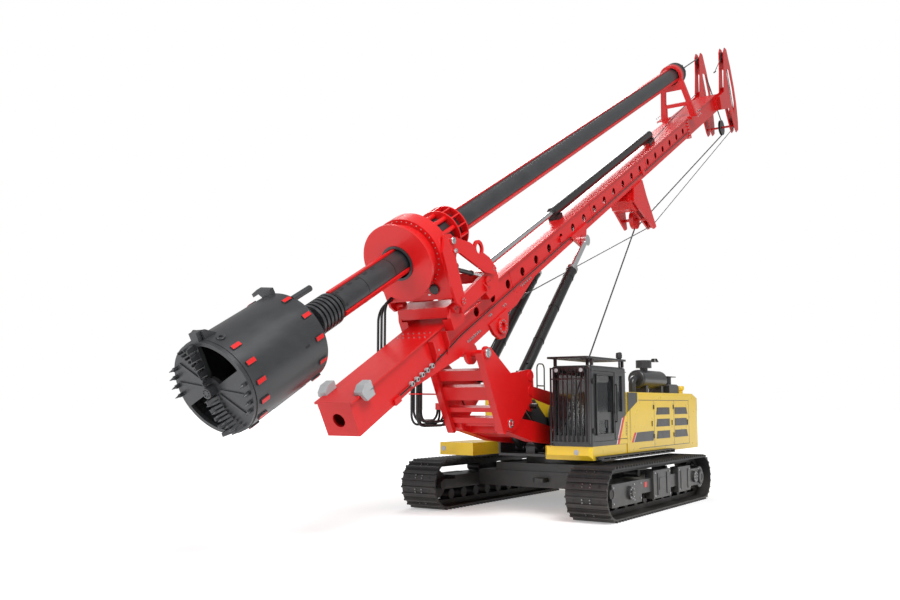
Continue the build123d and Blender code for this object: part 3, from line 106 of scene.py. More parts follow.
def aim(yaw, pitch):
    """The turn of a camera that looks along yaw and up by pitch, with a level horizon."""
    ahead = Vector((cos(yaw) * cos(pitch), sin(yaw) * cos(pitch), sin(pitch)))
    right = ahead.cross(Vector((0, 0, 1))).normalized()
    above = right.cross(ahead)
    return Matrix((right, above, -ahead)).transposed()


camera = bpy.data.objects.new("camera", bpy.data.cameras.new("camera"))
bpy.context.scene.collection.objects.link(camera)
camera.data.lens = lens
camera.data.sensor_width = sensor_width
camera.data.clip_end = farthest_seen
camera.matrix_world = Matrix.Translation(camera_place) @ aim(view_yaw, view_pitch).to_4x4()
bpy.context.scene.camera = camera
print("camera at", tuple(round(n, 2) for n in camera.location))

# %% [markdown]
# ## Shader maths as Python
#
# A material is a graph of nodes. Written out node by node it is long and hard to read, so a small
# class wraps a socket and lets Python's own operators add the Math nodes. Everything else comes from
# one method that takes a node's type, its settings and the values of its sockets.

# %% Numbers and finishes
class Number:
    """A shader number: Python's operators on it add Math nodes to its finish."""

    def __init__(self, finish, socket):
        self.finish = finish
        self.socket = socket

    def maths(self, operation, first, second):
        return self.finish.node("ShaderNodeMath", {"operation": operation}, {0: first, 1: second})

    def __add__(self, other):
        return self.maths("ADD", self, other)

    def __sub__(self, other):
        return self.maths("SUBTRACT", self, other)

    def __rsub__(self, other):
        return self.maths("SUBTRACT", other, self)

    def __mul__(self, other):
        return self.maths("MULTIPLY", self, other)

    def __truediv__(self, other):
        return self.maths("DIVIDE", self, other)

    def __gt__(self, other):
        return self.maths("GREATER_THAN", self, other)

    __radd__ = __add__
    __rmul__ = __mul__


class Finish:
    """A material under way: its node tree and its main shader."""

    def __init__(self, name):
        self.material = bpy.data.materials.new(name)
        self.material.use_nodes = True
        self.tree = self.material.node_tree
        self.shader = self.tree.nodes["Principled BSDF"]

    def put(self, socket, value):
        """Gives a socket a value, or a link where the value is a Number."""
        if isinstance(value, Number):
            self.tree.links.new(value.socket, socket)
        elif isinstance(value, tuple) and len(value) == 3 and socket.type == "RGBA":
            socket.default_value = (*value, 1)
        else:
            socket.default_value = value

    def node(self, kind, settings=None, inputs=None, out=0):
        """Adds any node. Its settings come first, then the values or links of its sockets."""
        made = self.tree.nodes.new(kind)
        for name, value in (settings or {}).items():
            setattr(made, name, value)
        for name, value in (inputs or {}).items():
            self.put(made.inputs[name], value)
        return Number(self, made.outputs[out])

    def shade(self, **values):
        """Sets the main shader's sockets: base_color=..., roughness=..."""
        for name, value in values.items():
            self.put(self.shader.inputs[name.replace("_", " ").title()], value)

    def place(self):
        return self.node("ShaderNodeTexCoord", out="Object")

    def noise(self, scale, detail=3, stretch=(1, 1, 1)):
        """Soft mottling with a period of about 1 / scale metres, drawn out where stretch is small."""
        where = self.node("ShaderNodeMapping", inputs={"Vector": self.place(), "Scale": stretch})
        return self.node("ShaderNodeTexNoise", inputs={"Vector": where, "Scale": scale, "Detail": detail})

    def mix(self, share, first, second):
        """A colour between two others. A Mix node's colours are its sockets 6 and 7."""
        inputs = {"Factor": share, 6: first, 7: second}
        return self.node("ShaderNodeMix", {"data_type": "RGBA", "clamp_factor": True}, inputs, out=2)

    def height(self):
        """Height above the ground."""
        return self.node("ShaderNodeSeparateXYZ", inputs={"Vector": self.place()}, out="Z")

    def bump(self, height, distance, strength=0.5):
        inputs = {"Height": height, "Distance": distance, "Strength": strength}
        self.put(self.shader.inputs["Normal"], self.node("ShaderNodeBump", inputs=inputs))


print("shader helpers ready")

# %% [markdown]
# ## Paint
#
# The structure wears a hard two-pack enamel: saturated, glossy, with the faint ripple of sprayed paint
# and a little road dust where the machine is low. One function makes every coloured paint, so the
# red, the yellow, the dark grey and the black differ only in colour, gloss and dust.

# %% Paint finishes
enamel_red = (0.68, 0.005, 0.006)
enamel_dark = (0.03, 0.031, 0.033)
road_dust = (0.19, 0.165, 0.13)
dust_height = 1.3               # metres above the ground, where the dust ends
coat_gloss = 0.08


def darker(colour, share):
    """The same colour with less light in it."""
    return tuple(share * part for part in colour)


def paint(name, colour, gloss, dust=0.0):
    """Sprayed enamel: colour drifts a little over metres, gloss over decimetres."""
    finish = Finish(name)
    patch = finish.noise(0.9, 4)
    shown = finish.mix(patch, darker(colour, 0.86), colour)
    if dust:
        low = (1 - finish.height() / dust_height) * finish.noise(5, 6)
        shown = finish.mix(low * dust, shown, road_dust)
    finish.shade(base_color=shown, roughness=gloss + 0.16 * (finish.noise(7, 5) - 0.5), coat_weight=0.12)
    finish.shader.inputs["Coat Roughness"].default_value = coat_gloss
    finish.bump(finish.noise(55, 2), 0.0006, 0.12)
    return finish.material


red = paint("red enamel", enamel_red, 0.34)
# A darker copy of the red for bars that lie in shade: its darkness is painted shade.
shaded_red = paint("shaded red enamel", (0.22, 0.006, 0.007), 0.36)
yellow = paint("yellow enamel", (0.86, 0.58, 0.022), 0.3)
charcoal = paint("charcoal enamel", (0.028, 0.029, 0.031), 0.36)
under_grey = paint("undercarriage enamel", enamel_dark, 0.42, dust=0.25)
black = paint("black enamel", (0.011, 0.011, 0.012), 0.3)
white_mark = paint("white marking", (0.78, 0.78, 0.76), 0.4)
print("paints:", len(bpy.data.materials))

# %% [markdown]
# ## Metal, rubber and glass
#
# Bare parts tell what a machine does. Chromed rods are mirror bright with faint scratches, the kelly
# bar and the bucket are worn grey steel with streaks along the way they slide, and the crawler's shoes
# are dark castings. A streak is plain noise that is drawn out along one direction.

# %% Metal finishes
def streaked(name, pale, deep, metal, gloss, along):
    """Worn steel with streaks drawn out along one direction."""
    finish = Finish(name)
    stretch = tuple(1 - 0.93 * abs(part) for part in along)
    streak = finish.noise(9, 6, stretch)
    blotch = finish.noise(1.4, 3)
    shown = finish.mix(0.55 * streak + 0.45 * blotch, deep, pale)
    finish.shade(base_color=shown, metallic=metal, roughness=gloss + 0.22 * (streak - 0.5))
    finish.bump(streak, 0.0012, 0.25)
    return finish.material


def plain_metal(name, colour, gloss):
    """Turned or plated metal with faint scratches."""
    finish = Finish(name)
    scratch = finish.noise(38, 4, (1, 0.25, 1))
    shown = finish.mix(scratch, darker(colour, 0.82), colour)
    finish.shade(base_color=shown, metallic=0.95, roughness=gloss + 0.1 * (scratch - 0.5))
    finish.bump(scratch, 0.0004, 0.15)
    return finish.material


track_dust = (0.16, 0.14, 0.115)
track_dust_height = 1.1


def cast(name, colour, dust):
    """Dark cast steel, sandy to the touch, with dust in the low places."""
    finish = Finish(name)
    grain = finish.noise(26, 6)
    low = (1 - finish.height() / track_dust_height) * finish.noise(4, 6)
    shown = finish.mix(low * dust, finish.mix(grain, darker(colour, 0.6), colour), track_dust)
    finish.shade(base_color=shown, metallic=0.35, roughness=0.5 + 0.2 * (grain - 0.5))
    finish.bump(grain, 0.0025, 0.3)
    return finish.material


kelly_steel = streaked("kelly steel", (0.085, 0.087, 0.092), (0.035, 0.036, 0.039), 0.55, 0.36, up_mast)
bucket_steel = streaked("bucket steel", (0.075, 0.077, 0.081), (0.038, 0.039, 0.042), 0.45, 0.34, up_mast)
worn_edge = plain_metal("worn steel", (0.32, 0.32, 0.33), 0.34)
chrome = plain_metal("chromed rod", (0.74, 0.75, 0.77), 0.13)
pin_steel = plain_metal("pin steel", (0.58, 0.58, 0.59), 0.28)
pale_grey = paint("pale grey fitting", (0.42, 0.43, 0.44), 0.42)
shoe_steel = cast("shoe steel", (0.030, 0.030, 0.033), 0.45)
print("finishes:", len(bpy.data.materials))


# %% Rubber, rope and glass
glass_index = 1.5               # how strongly glass bends light


def rubber(name, colour, gloss):
    """Hose cover, greased rope or seat cloth, matt with a fine weave."""
    finish = Finish(name)
    weave = finish.noise(140, 2)
    shown = finish.mix(weave, darker(colour, 0.7), colour)
    finish.shade(base_color=shown, roughness=gloss + 0.15 * (weave - 0.5))
    finish.bump(weave, 0.001, 0.3)
    return finish.material


def window(name, tint, clear):
    """Tinted cab glass with a trace of dust, clear enough to show the seat."""
    finish = Finish(name)
    film = finish.noise(3, 4)
    dusty = tuple(1.5 * part for part in tint)
    finish.shade(base_color=finish.mix(film, tint, dusty), roughness=0.04 + 0.05 * film,
                 alpha=clear + 0.06 * film)
    finish.shader.inputs["IOR"].default_value = glass_index
    return finish.material


def two_tone(name, station):
    """Dark enamel below a station up the mast, red enamel above it."""
    finish = Finish(name)
    along = finish.node("ShaderNodeVectorMath", {"operation": "DOT_PRODUCT"},
                        {0: finish.place(), 1: tuple(up_mast)}, out="Value")
    above = along > mast_foot.dot(up_mast) + station
    finish.shade(base_color=finish.mix(above, enamel_dark, enamel_red),
                 roughness=0.34 + 0.16 * (finish.noise(7, 5) - 0.5), coat_weight=0.1)
    finish.bump(finish.noise(55, 2), 0.0006, 0.12)
    return finish.material


def measured(name):
    """A node's points, each as its place up the mast and its distance from the kelly axis."""
    places = []
    for vertex in nodes[name].data.vertices:
        reach = vertex.co - mast_foot
        up = reach.dot(up_mast)
        places.append((up, (reach - up_mast * up).length))
    return places


flange_reach = 0.42             # only the flange stands out this far from the kelly axis
flange_start = min(up for up, reach in measured("drive_dampers") if reach > flange_reach)
flange_paint = two_tone("damper and flange paint", flange_start - 0.01)
hose_black = rubber("hose cover", (0.013, 0.013, 0.014), 0.45)
seat_cloth = rubber("seat cloth", (0.03, 0.03, 0.032), 0.75)
rope_steel = rubber("greased rope", (0.05, 0.05, 0.052), 0.4)
cab_glass = window("cab glass", (0.018, 0.021, 0.023), 0.45)
print("finishes:", len(bpy.data.materials))

# %% [markdown]
# ## Which finish goes on which piece
#
# The CAD pieces already have their true shape, so they only need a finish. A short table pairs each
# finish with the pieces that wear it. A piece that isn't named would keep its flat CAD colour, so the
# cell counts what it dressed and lists what it left.

# %% Finishes for the CAD pieces
worn_by = (
    (red, "luff_arm upper_links tilt_frame mast_lower mast_upper mast_head rope_guide drive_gearbox "
          "drive_carriage kelly_guide kelly_keys"),
    (yellow, "house_left house_right hood counterweight front_boxes"),
    (under_grey, "car_body side_frame_left side_frame_right upper_frame main_winch engine_block"),
    (shoe_steel, "track_left track_right track_wheels track_rollers"),
    (charcoal, "cab_shell cab_floor cab_roof cab_door air_cleaner exhaust head_sheaves"),
    (flange_paint, "drive_dampers"),
    (black, "cab_guards roof_guard handrails luff_ram_barrels mast_ram_barrels crowd_cylinder"),
    (hose_black, "drive_hoses frame_hoses"),
    (chrome, "luff_ram_rods mast_ram_rods crowd_rod"),
    (kelly_steel, "kelly_bar kelly_spring kelly_swivel drive_sleeve"),
    (bucket_steel, "bucket_shell bucket_lid"),
    (cab_glass, "cab_glass door_glass"),
    (seat_cloth, "operator_seat"),
)
dressed = set()
for finish, names in worn_by:
    for name in names.split():
        for slot in nodes[name].material_slots:
            slot.material = finish
        dressed.add(name)
print("dressed:", len(dressed), "of", len(nodes), "left:", sorted(set(nodes) - dressed))

# %% [markdown]
# ## Making small pieces
#
# Bolts, pins, plates and pipes are all made the same way: a few bmesh operators grow one shape where
# it belongs, many shapes share one mesh, and one function turns that mesh into a finished piece. It
# merges doubles, turns the faces outwards, rounds the edges a little so that they catch the light,
# and makes the piece ride on the body it is bolted to.

# %% Shapes
forward = Vector((1, 0, 0))
upright = Vector((0, 0, 1))
near_axis = 0.0001              # a turned part's ends this close to its axis merge into one point
pinhole = 0.001                 # ends this far from it leave a pinhole, too small to show on a rig


def bar(mesh, start, stop, radius, sides=16, tip=None):
    """A round bar from one point to another, or a cone where its tip has another radius."""
    way = stop - start
    turn = way.to_track_quat("Z", "Y").to_matrix().to_4x4()
    bmesh.ops.create_cone(mesh, cap_ends=True, segments=sides, radius1=radius,
                          radius2=radius if tip is None else tip, depth=way.length,
                          matrix=Matrix.Translation((start + stop) / 2) @ turn)


def block(mesh, middle, along, across, size):
    """A box round a middle: its size runs along, across and square to both."""
    along, across = along.normalized(), across.normalized()
    turn = Matrix((along, across, along.cross(across))).transposed().to_4x4()
    shape = Matrix.Translation(middle) @ turn @ Matrix.Diagonal((*size, 1))
    bmesh.ops.create_cube(mesh, size=1, matrix=shape)


def slab(mesh, corners, push):
    """A flat plate: a face through its corners, pushed out to its thickness."""
    face = mesh.faces.new([mesh.verts.new(corner) for corner in corners])
    grown = bmesh.ops.extrude_face_region(mesh, geom=[face])["geom"]
    far_corners = [part for part in grown if isinstance(part, bmesh.types.BMVert)]
    bmesh.ops.translate(mesh, verts=far_corners, vec=push)


def turned(mesh, place, axis, profile, sides=32):
    """A turned part: pairs of (along the axis, radius), spun round it."""
    turn = axis.to_track_quat("Z", "Y").to_matrix().to_4x4()
    lathe = Matrix.Translation(place) @ turn
    line = [mesh.verts.new(lathe @ Vector((radius, 0, along))) for along, radius in profile]
    edges = [mesh.edges.new(pair) for pair in zip(line, line[1:])]
    bmesh.ops.spin(mesh, geom=line + edges, cent=place, axis=axis.normalized(), angle=2 * pi, steps=sides,
                   use_merge=True)


def disc(mesh, place, axis, radius, height, sides=32):
    """A round boss with a small chamfer, standing on a face."""
    edge = min(height, radius) * 0.25
    turned(mesh, place, axis, [(0, near_axis), (0, radius), (height - edge, radius), (height, radius - edge),
                               (height, near_axis)], sides)


def collar(mesh, place, axis, inner, outer, height, edge, sides):
    """A ring that stands on a face, with a chamfer round its top."""
    turned(mesh, place, axis, [(0, inner), (0, outer), (height - edge, outer), (height, outer - edge),
                               (height, inner), (0, inner)], sides)


def bolt(mesh, place, axis, radius):
    """A hexagon head on its washer."""
    axis = axis.normalized()
    washer_top = place + axis * radius * 0.25
    bar(mesh, place, washer_top, radius * 1.25, 10)
    bar(mesh, washer_top, place + axis * radius * 0.95, radius, 6)


print("shape helpers ready")


# %% Rows and circles
def row(first, last, count):
    """Evenly spaced values from the first to the last."""
    return [first + (last - first) * number / max(count - 1, 1) for number in range(count)]


def circle(count, radius):
    """Evenly spaced places round a circle, as pairs of offsets from its middle."""
    turns = [2 * pi * number / count for number in range(count)]
    return [(radius * cos(turn), radius * sin(turn)) for turn in turns]


print("five in a row:", row(0, 1, 5))


def make(name, finish, body, mesh, bevel=0.0, sharp=38):
    """Turns a bmesh into a finished piece that rides on a body, or on none where no body is given."""
    bmesh.ops.remove_doubles(mesh, verts=mesh.verts, dist=2 * near_axis)
    bmesh.ops.recalc_face_normals(mesh, faces=mesh.faces)
    data = bpy.data.meshes.new(name)
    mesh.to_mesh(data)
    mesh.free()
    for face in data.polygons:
        face.use_smooth = True
    data.set_sharp_from_angle(angle=radians(sharp))
    data.materials.append(finish)
    piece = bpy.data.objects.new(name, data)
    bpy.context.scene.collection.objects.link(piece)
    if bevel:
        rounding = piece.modifiers.new("rounded edges", "BEVEL")
        rounding.width = bevel
        rounding.segments = 2
        rounding.limit_method = "ANGLE"
        rounding.harden_normals = True
    if body:
        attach(piece, body)
    print(name, "faces:", len(data.polygons))
    return piece


# %% [markdown]
# ## Mast fittings
#
# The mast is a long welded box with rails on its front. What tells its size is its hardware: stop
# blocks at the foot, rows of bolts where sections and brackets join, a pipe clipped along its side
# and round lugs for lifting. Each is given by its place up the mast and off the kelly axis.

# %% Mast: stop blocks
rail_top = -1.227               # off, face of the rails
mast_side = 0.307               # half width of the box
stop_reach = 0.43               # outer side of the stop blocks
front_stop = ((0.2, rail_top), (0.46, rail_top), (0.46, -1.10), (0.30, -1.10), (0.20, -1.17))
side_stop = ((0.2, rail_top), (0.46, rail_top), (0.46, -1.345), (0.26, -1.345))
mesh = bmesh.new()
for hand in (-1, 1):
    for outline, inner in ((front_stop, 0.27), (side_stop, 0.362)):
        corners = [on_mast(up, off, hand * inner) for up, off in outline]
        slab(mesh, corners, left * hand * (stop_reach - inner))
make("mast_stop_blocks", pale_grey, "mast", mesh, 0.006)

# %% Mast: bolts
joint_low, joint_high = 17.13, 17.21    # faces of the flanges that join the mast's two sections
joint_bolt = 0.017
mesh = bmesh.new()
for up in (2.2, 2.36):
    for y in row(-0.275, 0.275, 6):
        bolt(mesh, on_mast(up, rail_top, y), off_mast, 0.014)
for up, axis in ((joint_low, -up_mast), (joint_high, up_mast)):
    for off in row(-1.33, -1.78, 6):
        for y in (-0.33, 0.33):
            bolt(mesh, on_mast(up, off, y), axis, joint_bolt)
    for y in row(-0.22, 0.22, 5):
        bolt(mesh, on_mast(up, -1.805, y), axis, joint_bolt)
side_bolts = (
    # first up, last up, off, count
    (3.29, 3.73, -1.83, 8),
    (4.17, 4.23, -1.73, 2),
    (4.72, 4.80, -1.78, 2),
    (2.41, 2.41, -1.66, 1),
    (2.40, 2.40, -1.56, 1),
    (2.90, 3.00, -1.36, 3),
    (5.55, 5.95, -1.71, 6),
)
for hand in (-1, 1):
    for first, last, off, count in side_bolts:
        for up in row(first, last, count):
            bolt(mesh, on_mast(up, off, hand * mast_side), left * hand, 0.019)
make("mast_bolts", pin_steel, "mast", mesh)

# %% Mast: side pipe and its clips
pipe_way = ((0.95, -1.70), (1.3, -1.70), (2.2, -1.68), (2.6, -1.66), (3.1, -1.62), (4.6, -1.62),
            (17.05, -1.62))
pipe_side = mast_side + 0.03
clip_places = [on_mast(up, -1.69, mast_side) for up in row(1.45, 2.078, 5)]
mesh = bmesh.new()
for start, stop in zip(pipe_way, pipe_way[1:]):
    bar(mesh, on_mast(*start, pipe_side), on_mast(*stop, pipe_side), 0.011, 10)
for place in clip_places:
    disc(mesh, place, left, 0.022, 0.062, 20)
make("mast_side_pipe", black, "mast", mesh)

mesh = bmesh.new()
for place in clip_places:
    collar(mesh, place, left, 0.024, 0.042, 0.056, 0.006, 24)
make("mast_pipe_clips", pale_grey, "mast", mesh)

# %% Mast: lugs and side brackets
lug_outline = ((4.05, -1.86), (4.80, -1.86), (4.76, -2.02), (4.62, -2.22), (4.45, -2.30), (4.28, -2.26),
               (4.14, -2.10))
lug_eye_up, lug_eye_off = 4.42, -2.06
bracket_outline = ((2.18, -1.30), (2.62, -1.30), (2.62, -1.62), (2.42, -1.78), (2.18, -1.60))
wing_outline = ((-1.32, 0), (-1.32, 0.11), (-1.55, 0.11), (-1.76, 0))      # off, reach from the side
mesh = bmesh.new()
for hand in (-1, 1):
    slab(mesh, [on_mast(up, off, hand * (mast_side - 0.04)) for up, off in lug_outline], left * hand * 0.07)
    collar(mesh, on_mast(lug_eye_up, lug_eye_off, hand * (mast_side + 0.03)), left * hand,
           0.075, 0.15, 0.045, 0.01, 36)
    for up in (2.18, 2.60):
        slab(mesh, [on_mast(up, off, hand * (mast_side + reach)) for off, reach in wing_outline],
             up_mast * 0.025)
    slab(mesh, [on_mast(up, off, hand * (mast_side - 0.001)) for up, off in bracket_outline],
         left * hand * 0.012)
    for up, off in ((12.9, -1.62), (7.6, -1.5), (1.0, -1.74)):
        block(mesh, on_mast(up, off, hand * (mast_side + 0.02)), up_mast, left, (0.16, 0.05, 0.1))
make("mast_lugs", red, "mast", mesh, 0.004)

mesh = bmesh.new()
for hand in (-1, 1):
    for ahead, aside in circle(12, 0.115):
        bolt(mesh, on_mast(lug_eye_up + ahead, lug_eye_off + aside, hand * (mast_side + 0.074)),
             left * hand, 0.012)
make("mast_lug_bolts", pin_steel, "mast", mesh)

# %% Mast: weld seams and joint straps
long_welds = (
    # first up, off, how proud, radius
    (0.05, -1.264, 0.004, 0.008),
    (5.3, -1.752, 0.002, 0.007),
)
weld_end = 17.1
mesh = bmesh.new()
for hand in (-1, 1):
    for up in (5.25, 9.4, 13.3):
        block(mesh, on_mast(up, -1.50, hand * (mast_side + 0.001)), up_mast, left, (0.05, 0.012, 0.46))
    for first, off, proud, radius in long_welds:
        y = hand * (mast_side + proud)
        bar(mesh, on_mast(first, off, y), on_mast(weld_end, off, y), radius, 8)
make("mast_welds", red, "mast", mesh, 0.002)

# %% [markdown]
# ## Ropes
#
# A rig's mast has ropes on both sides: the kelly rope from the swivel over the head sheaves and down
# behind the mast to the main winch, and a thinner one for lifting tools. A rope is strands laid in a
# helix, which shows as a fine slanted ribbing. So a rope is a lobed outline swept along its way: each
# next ring of the outline is turned a little, and bridge_loops joins the rings. Between sheaves the
# ropes are taut and straight, and round a sheave they follow its groove.

# %% Rope making
rope_lobes = 6
rope_lay = 0.45                 # length in which a strand goes once round
valley_share = 0.84             # radius between two strands, as a share of the rope's


def rope(mesh, points, radius):
    """Sweeps a lobed outline through points, turning it once in each lay."""
    sides = rope_lobes * 2
    turn = 0.0
    last = None
    for number, point in enumerate(points):
        before = points[max(number - 1, 0)]
        ahead = (points[min(number + 1, len(points) - 1)] - before).normalized()
        turn += 2 * pi * (point - before).length / rope_lay
        across = (left - ahead * left.dot(ahead)).normalized()
        upward = ahead.cross(across)
        outline = []
        for side in range(sides):
            angle = turn + 2 * pi * side / sides
            swell = radius if side % 2 else radius * valley_share
            outline.append(mesh.verts.new(point + (across * cos(angle) + upward * sin(angle)) * swell))
        edges = [mesh.edges.new((outline[side - 1], outline[side])) for side in range(sides)]
        if last:
            bmesh.ops.bridge_loops(mesh, edges=last + edges)
        last = edges


def run(start, stop, step=0.05):
    """Points along a straight run."""
    count = max(int((stop - start).length / step), 1)
    return [start.lerp(stop, number / count) for number in range(count + 1)]


def round_sheave(middle, radius, first, last, count=10):
    """Points round a sheave whose pin lies across the mast, between two angles from off to up."""
    angles = [radians(first + (last - first) * number / count) for number in range(count + 1)]
    return [middle + (off_mast * cos(angle) + up_mast * sin(angle)) * radius for angle in angles]


print("rope helpers ready")

# %% [markdown]
# The kelly rope's first run stretches when the kelly bar is lowered, so that run rides on no body. The
# other runs ride on the mast.

# %% Ropes on the mast
kelly_rope = 0.019              # radius
thin_rope = 0.012
near_side = 0.397               # the head's two sheaves stand this far left and right
head_sheave = 0.166             # radius at the rope's middle
top_middle = on_mast(21.83, -0.33)
low_middle = on_mast(21.56, -2.56)
near_middle = on_mast(21.76, -2.48)
guide_middle = on_mast(12.48, -2.72)
side_middle = on_mast(12.86, -2.98)
socket_top = on_mast(18.66, 0)
winch_entry = spot(-0.326, 0, 1.998)

mesh = bmesh.new()
rope(mesh, run(top_middle - left * near_side + off_mast * head_sheave, socket_top, 0.04), kelly_rope)
first_run = make("kelly_rope_run", rope_steel, None, mesh, sharp=180)
tuple(on_mast(21.5, -0.16, -near_side))
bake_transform(first_run)

mesh = bmesh.new()
over_top = round_sheave(top_middle - left * near_side, head_sheave, 0, 97)
over_low = round_sheave(low_middle, 0.226, 97, 182)
rope(mesh, over_top + run(over_top[-1], over_low[0])[1:-1] + over_low, kelly_rope)
down_guide = round_sheave(guide_middle, 0.216, 179, 203, 4)
rope(mesh, run(over_low[-1], down_guide[0], 0.06)[:-1] + down_guide, kelly_rope)
rope(mesh, run(down_guide[-1], winch_entry), kelly_rope)
make("kelly_rope_back", rope_steel, "mast", mesh, sharp=180)

# %% Thin ropes
lifting_end = on_mast(20.9, -0.6, 0.3)
thin_rope_foot = on_mast(5.75, -1.98, 0.2)
front_start = on_mast(14.28, -1.16, 0.2)
front_turn = on_mast(17.33, -1.12, -0.05)
front_end = on_mast(20.4, -1.1, -0.27)
mesh = bmesh.new()
over_near = round_sheave(near_middle + left * near_side, 0.134, 80, 180, 8)
over_far = round_sheave(top_middle + left * near_side, 0.163, 20, 92, 8)
rope(mesh, run(lifting_end, over_far[0])[:-1] + over_far + run(over_far[-1], over_near[0])[1:-1] + over_near,
     thin_rope)
side_wrap = round_sheave(side_middle + left * 0.255, 0.096, 180, 230, 5)
rope(mesh, run(over_near[-1], side_wrap[0], 0.06)[:-1] + side_wrap, thin_rope)
rope(mesh, run(side_wrap[-1], thin_rope_foot, 0.06), thin_rope)
rope(mesh, run(front_start, front_turn, 0.06)[:-1] + run(front_turn, front_end, 0.06), thin_rope)
make("thin_ropes", rope_steel, "mast", mesh, sharp=180)

# %% Rope ends
socket_profile = [(0, pinhole), (0, 0.12), (0.03, 0.12), (0.05, 0.07), (0.12, 0.07), (0.13, 0.05),
                  (0.26, 0.03), (0.26, pinhole)]
mesh = bmesh.new()
turned(mesh, on_mast(18.43, 0), up_mast, socket_profile)
make("kelly_rope_socket", pin_steel, "kelly_guide", mesh, 0.003)

mesh = bmesh.new()
for place in (thin_rope_foot, front_start, lifting_end):
    bar(mesh, place - up_mast * 0.1, place + up_mast * 0.12, 0.022, 16, 0.016)
block(mesh, on_mast(5.68, -1.91, 0.2), up_mast, off_mast, (0.16, 0.19, 0.03))
block(mesh, on_mast(14.2, -1.19, 0.2), up_mast, off_mast, (0.12, 0.10, 0.03))
make("rope_anchors", charcoal, "mast", mesh, 0.004)

# %% Rope on the winch drum
drum_low, drum_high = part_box("main_winch")
drum = Vector(((drum_low[0] + drum_high[0]) / 2, 0, drum_high[2] - 0.42))
drum_end = 0.43                 # half the drum's length between its flanges
drum_core = 0.29                # radius
wrap_low, wrap_high = 0.302, 0.326
wrap_pitch = 0.0386
wraps = [(-drum_end, drum_core)]
for number in range(22):
    first = wrap_pitch * number - drum_end
    wraps += [(first + 0.005, wrap_low), (first + 0.024, wrap_high)]
wraps += [(drum_end, wrap_low), (drum_end, drum_core)]
mesh = bmesh.new()
turned(mesh, drum, left, wraps, 40)
make("winch_rope", rope_steel, "upper", mesh)

# %% [markdown]
# ## Rotary drive and kelly
#
# The drive is a gearbox more than a metre across, closed by rings of bolts. Two red motors stand behind
# it, and bright pins hold its links. The faces of the gearbox are measured on its solid, so that each
# ring of bolts sits on its own face.

# %% Drive: rings of bolts
def ring_of_bolts(mesh, up, radius, count, size, axis):
    """Bolts round the kelly axis."""
    for off, y in circle(count, radius):
        bolt(mesh, on_mast(up, off, y), axis, size)


gearbox_stations = [up for up, reach in measured("drive_gearbox")]
drive_front, drive_back = min(gearbox_stations), max(gearbox_stations)
housing_face = drive_front + 0.30
print("drive from", round(drive_front, 3), "to", round(drive_back, 3))
boss_bolts = (
    # up, off, y, radius of the circle, size of the bolt
    (2.93, -0.93, 0.71, 0.045, 0.010),
    (4.28, -0.88, 0.612, 0.04, 0.009),
)
mesh = bmesh.new()
ring_of_bolts(mesh, housing_face, 0.606, 40, 0.010, -up_mast)
ring_of_bolts(mesh, drive_back, 0.530, 24, 0.017, up_mast)
for hand in (-1, 1):
    for up, off, y, radius, size in boss_bolts:
        for ahead, aside in circle(6, radius):
            bolt(mesh, on_mast(up + ahead, off + aside, hand * y), left * hand, size)
make("drive_bolts", pin_steel, "rotary_drive", mesh)

# %% Drive: pins
mesh = bmesh.new()
for hand in (-1, 1):
    for up, off, radius in ((3.10, 0.07, 0.060), (3.085, -0.10, 0.040)):
        turned(mesh, on_mast(up, off, hand * 0.708), left * hand,
               [(0, pinhole), (0, radius), (0.022, radius), (0.030, radius * 0.88), (0.030, radius * 0.35),
                (0.018, radius * 0.30), (0.018, pinhole)], 36)
disc(mesh, on_mast(housing_face, -0.69, 0.23), -up_mast, 0.022, 0.02, 20)
make("drive_pins", pin_steel, "rotary_drive", mesh)

# %% Drive: dark parts and carriage rams
def carriage_ram(hand):
    """Both ends of the short ram on one side of the carriage."""
    return on_mast(3.16, -0.44, hand * 0.55), on_mast(3.86, -0.84, hand * 0.55)


mesh = bmesh.new()
disc(mesh, on_mast(housing_face, -0.60, 0.36), -up_mast, 0.088, 0.05, 36)
for hand in (-1, 1):
    for up in (2.86, 4.04):
        for step in (-0.038, 0.038):
            disc(mesh, on_mast(up + step, -1.02, hand * 0.578), left * hand, 0.016, 0.004, 16)
    start, stop = carriage_ram(hand)
    bar(mesh, start, start.lerp(stop, 0.62), 0.042, 24)
    bar(mesh, start.lerp(stop, 0.60), start.lerp(stop, 0.65), 0.050, 24)
make("drive_dark_parts", black, "rotary_drive", mesh, 0.003)

mesh = bmesh.new()
for hand in (-1, 1):
    start, stop = carriage_ram(hand)
    bar(mesh, start.lerp(stop, 0.64), stop, 0.022, 20)
make("carriage_ram_rods", chrome, "rotary_drive", mesh)

# %% Drive: motors and the carriage's guides
motor_profile = [(0, pinhole), (0, 0.135), (0.05, 0.135), (0.05, 0.11), (0.30, 0.11), (0.33, 0.09),
                 (0.33, 0.06), (0.42, 0.06), (0.43, 0.05), (0.43, pinhole)]
guide_side = 0.534
mesh = bmesh.new()
for hand in (-1, 1):
    turned(mesh, on_mast(drive_back - 0.002, -0.50, hand * 0.34), up_mast, motor_profile, 36)
    for up, reach in ((2.95, 0.07), (3.9, 0.05)):
        outline = ((-0.99, guide_side), (-1.16, guide_side), (-1.16, guide_side + reach),
                   (-1.06, guide_side + reach))
        slab(mesh, [on_mast(up, off, hand * y) for off, y in outline], up_mast * 0.03)
    block(mesh, on_mast(3.4, -1.265, hand * 0.505), up_mast, left, (0.62, 0.05, 0.02))
make("drive_motors", red, "rotary_drive", mesh, 0.003)
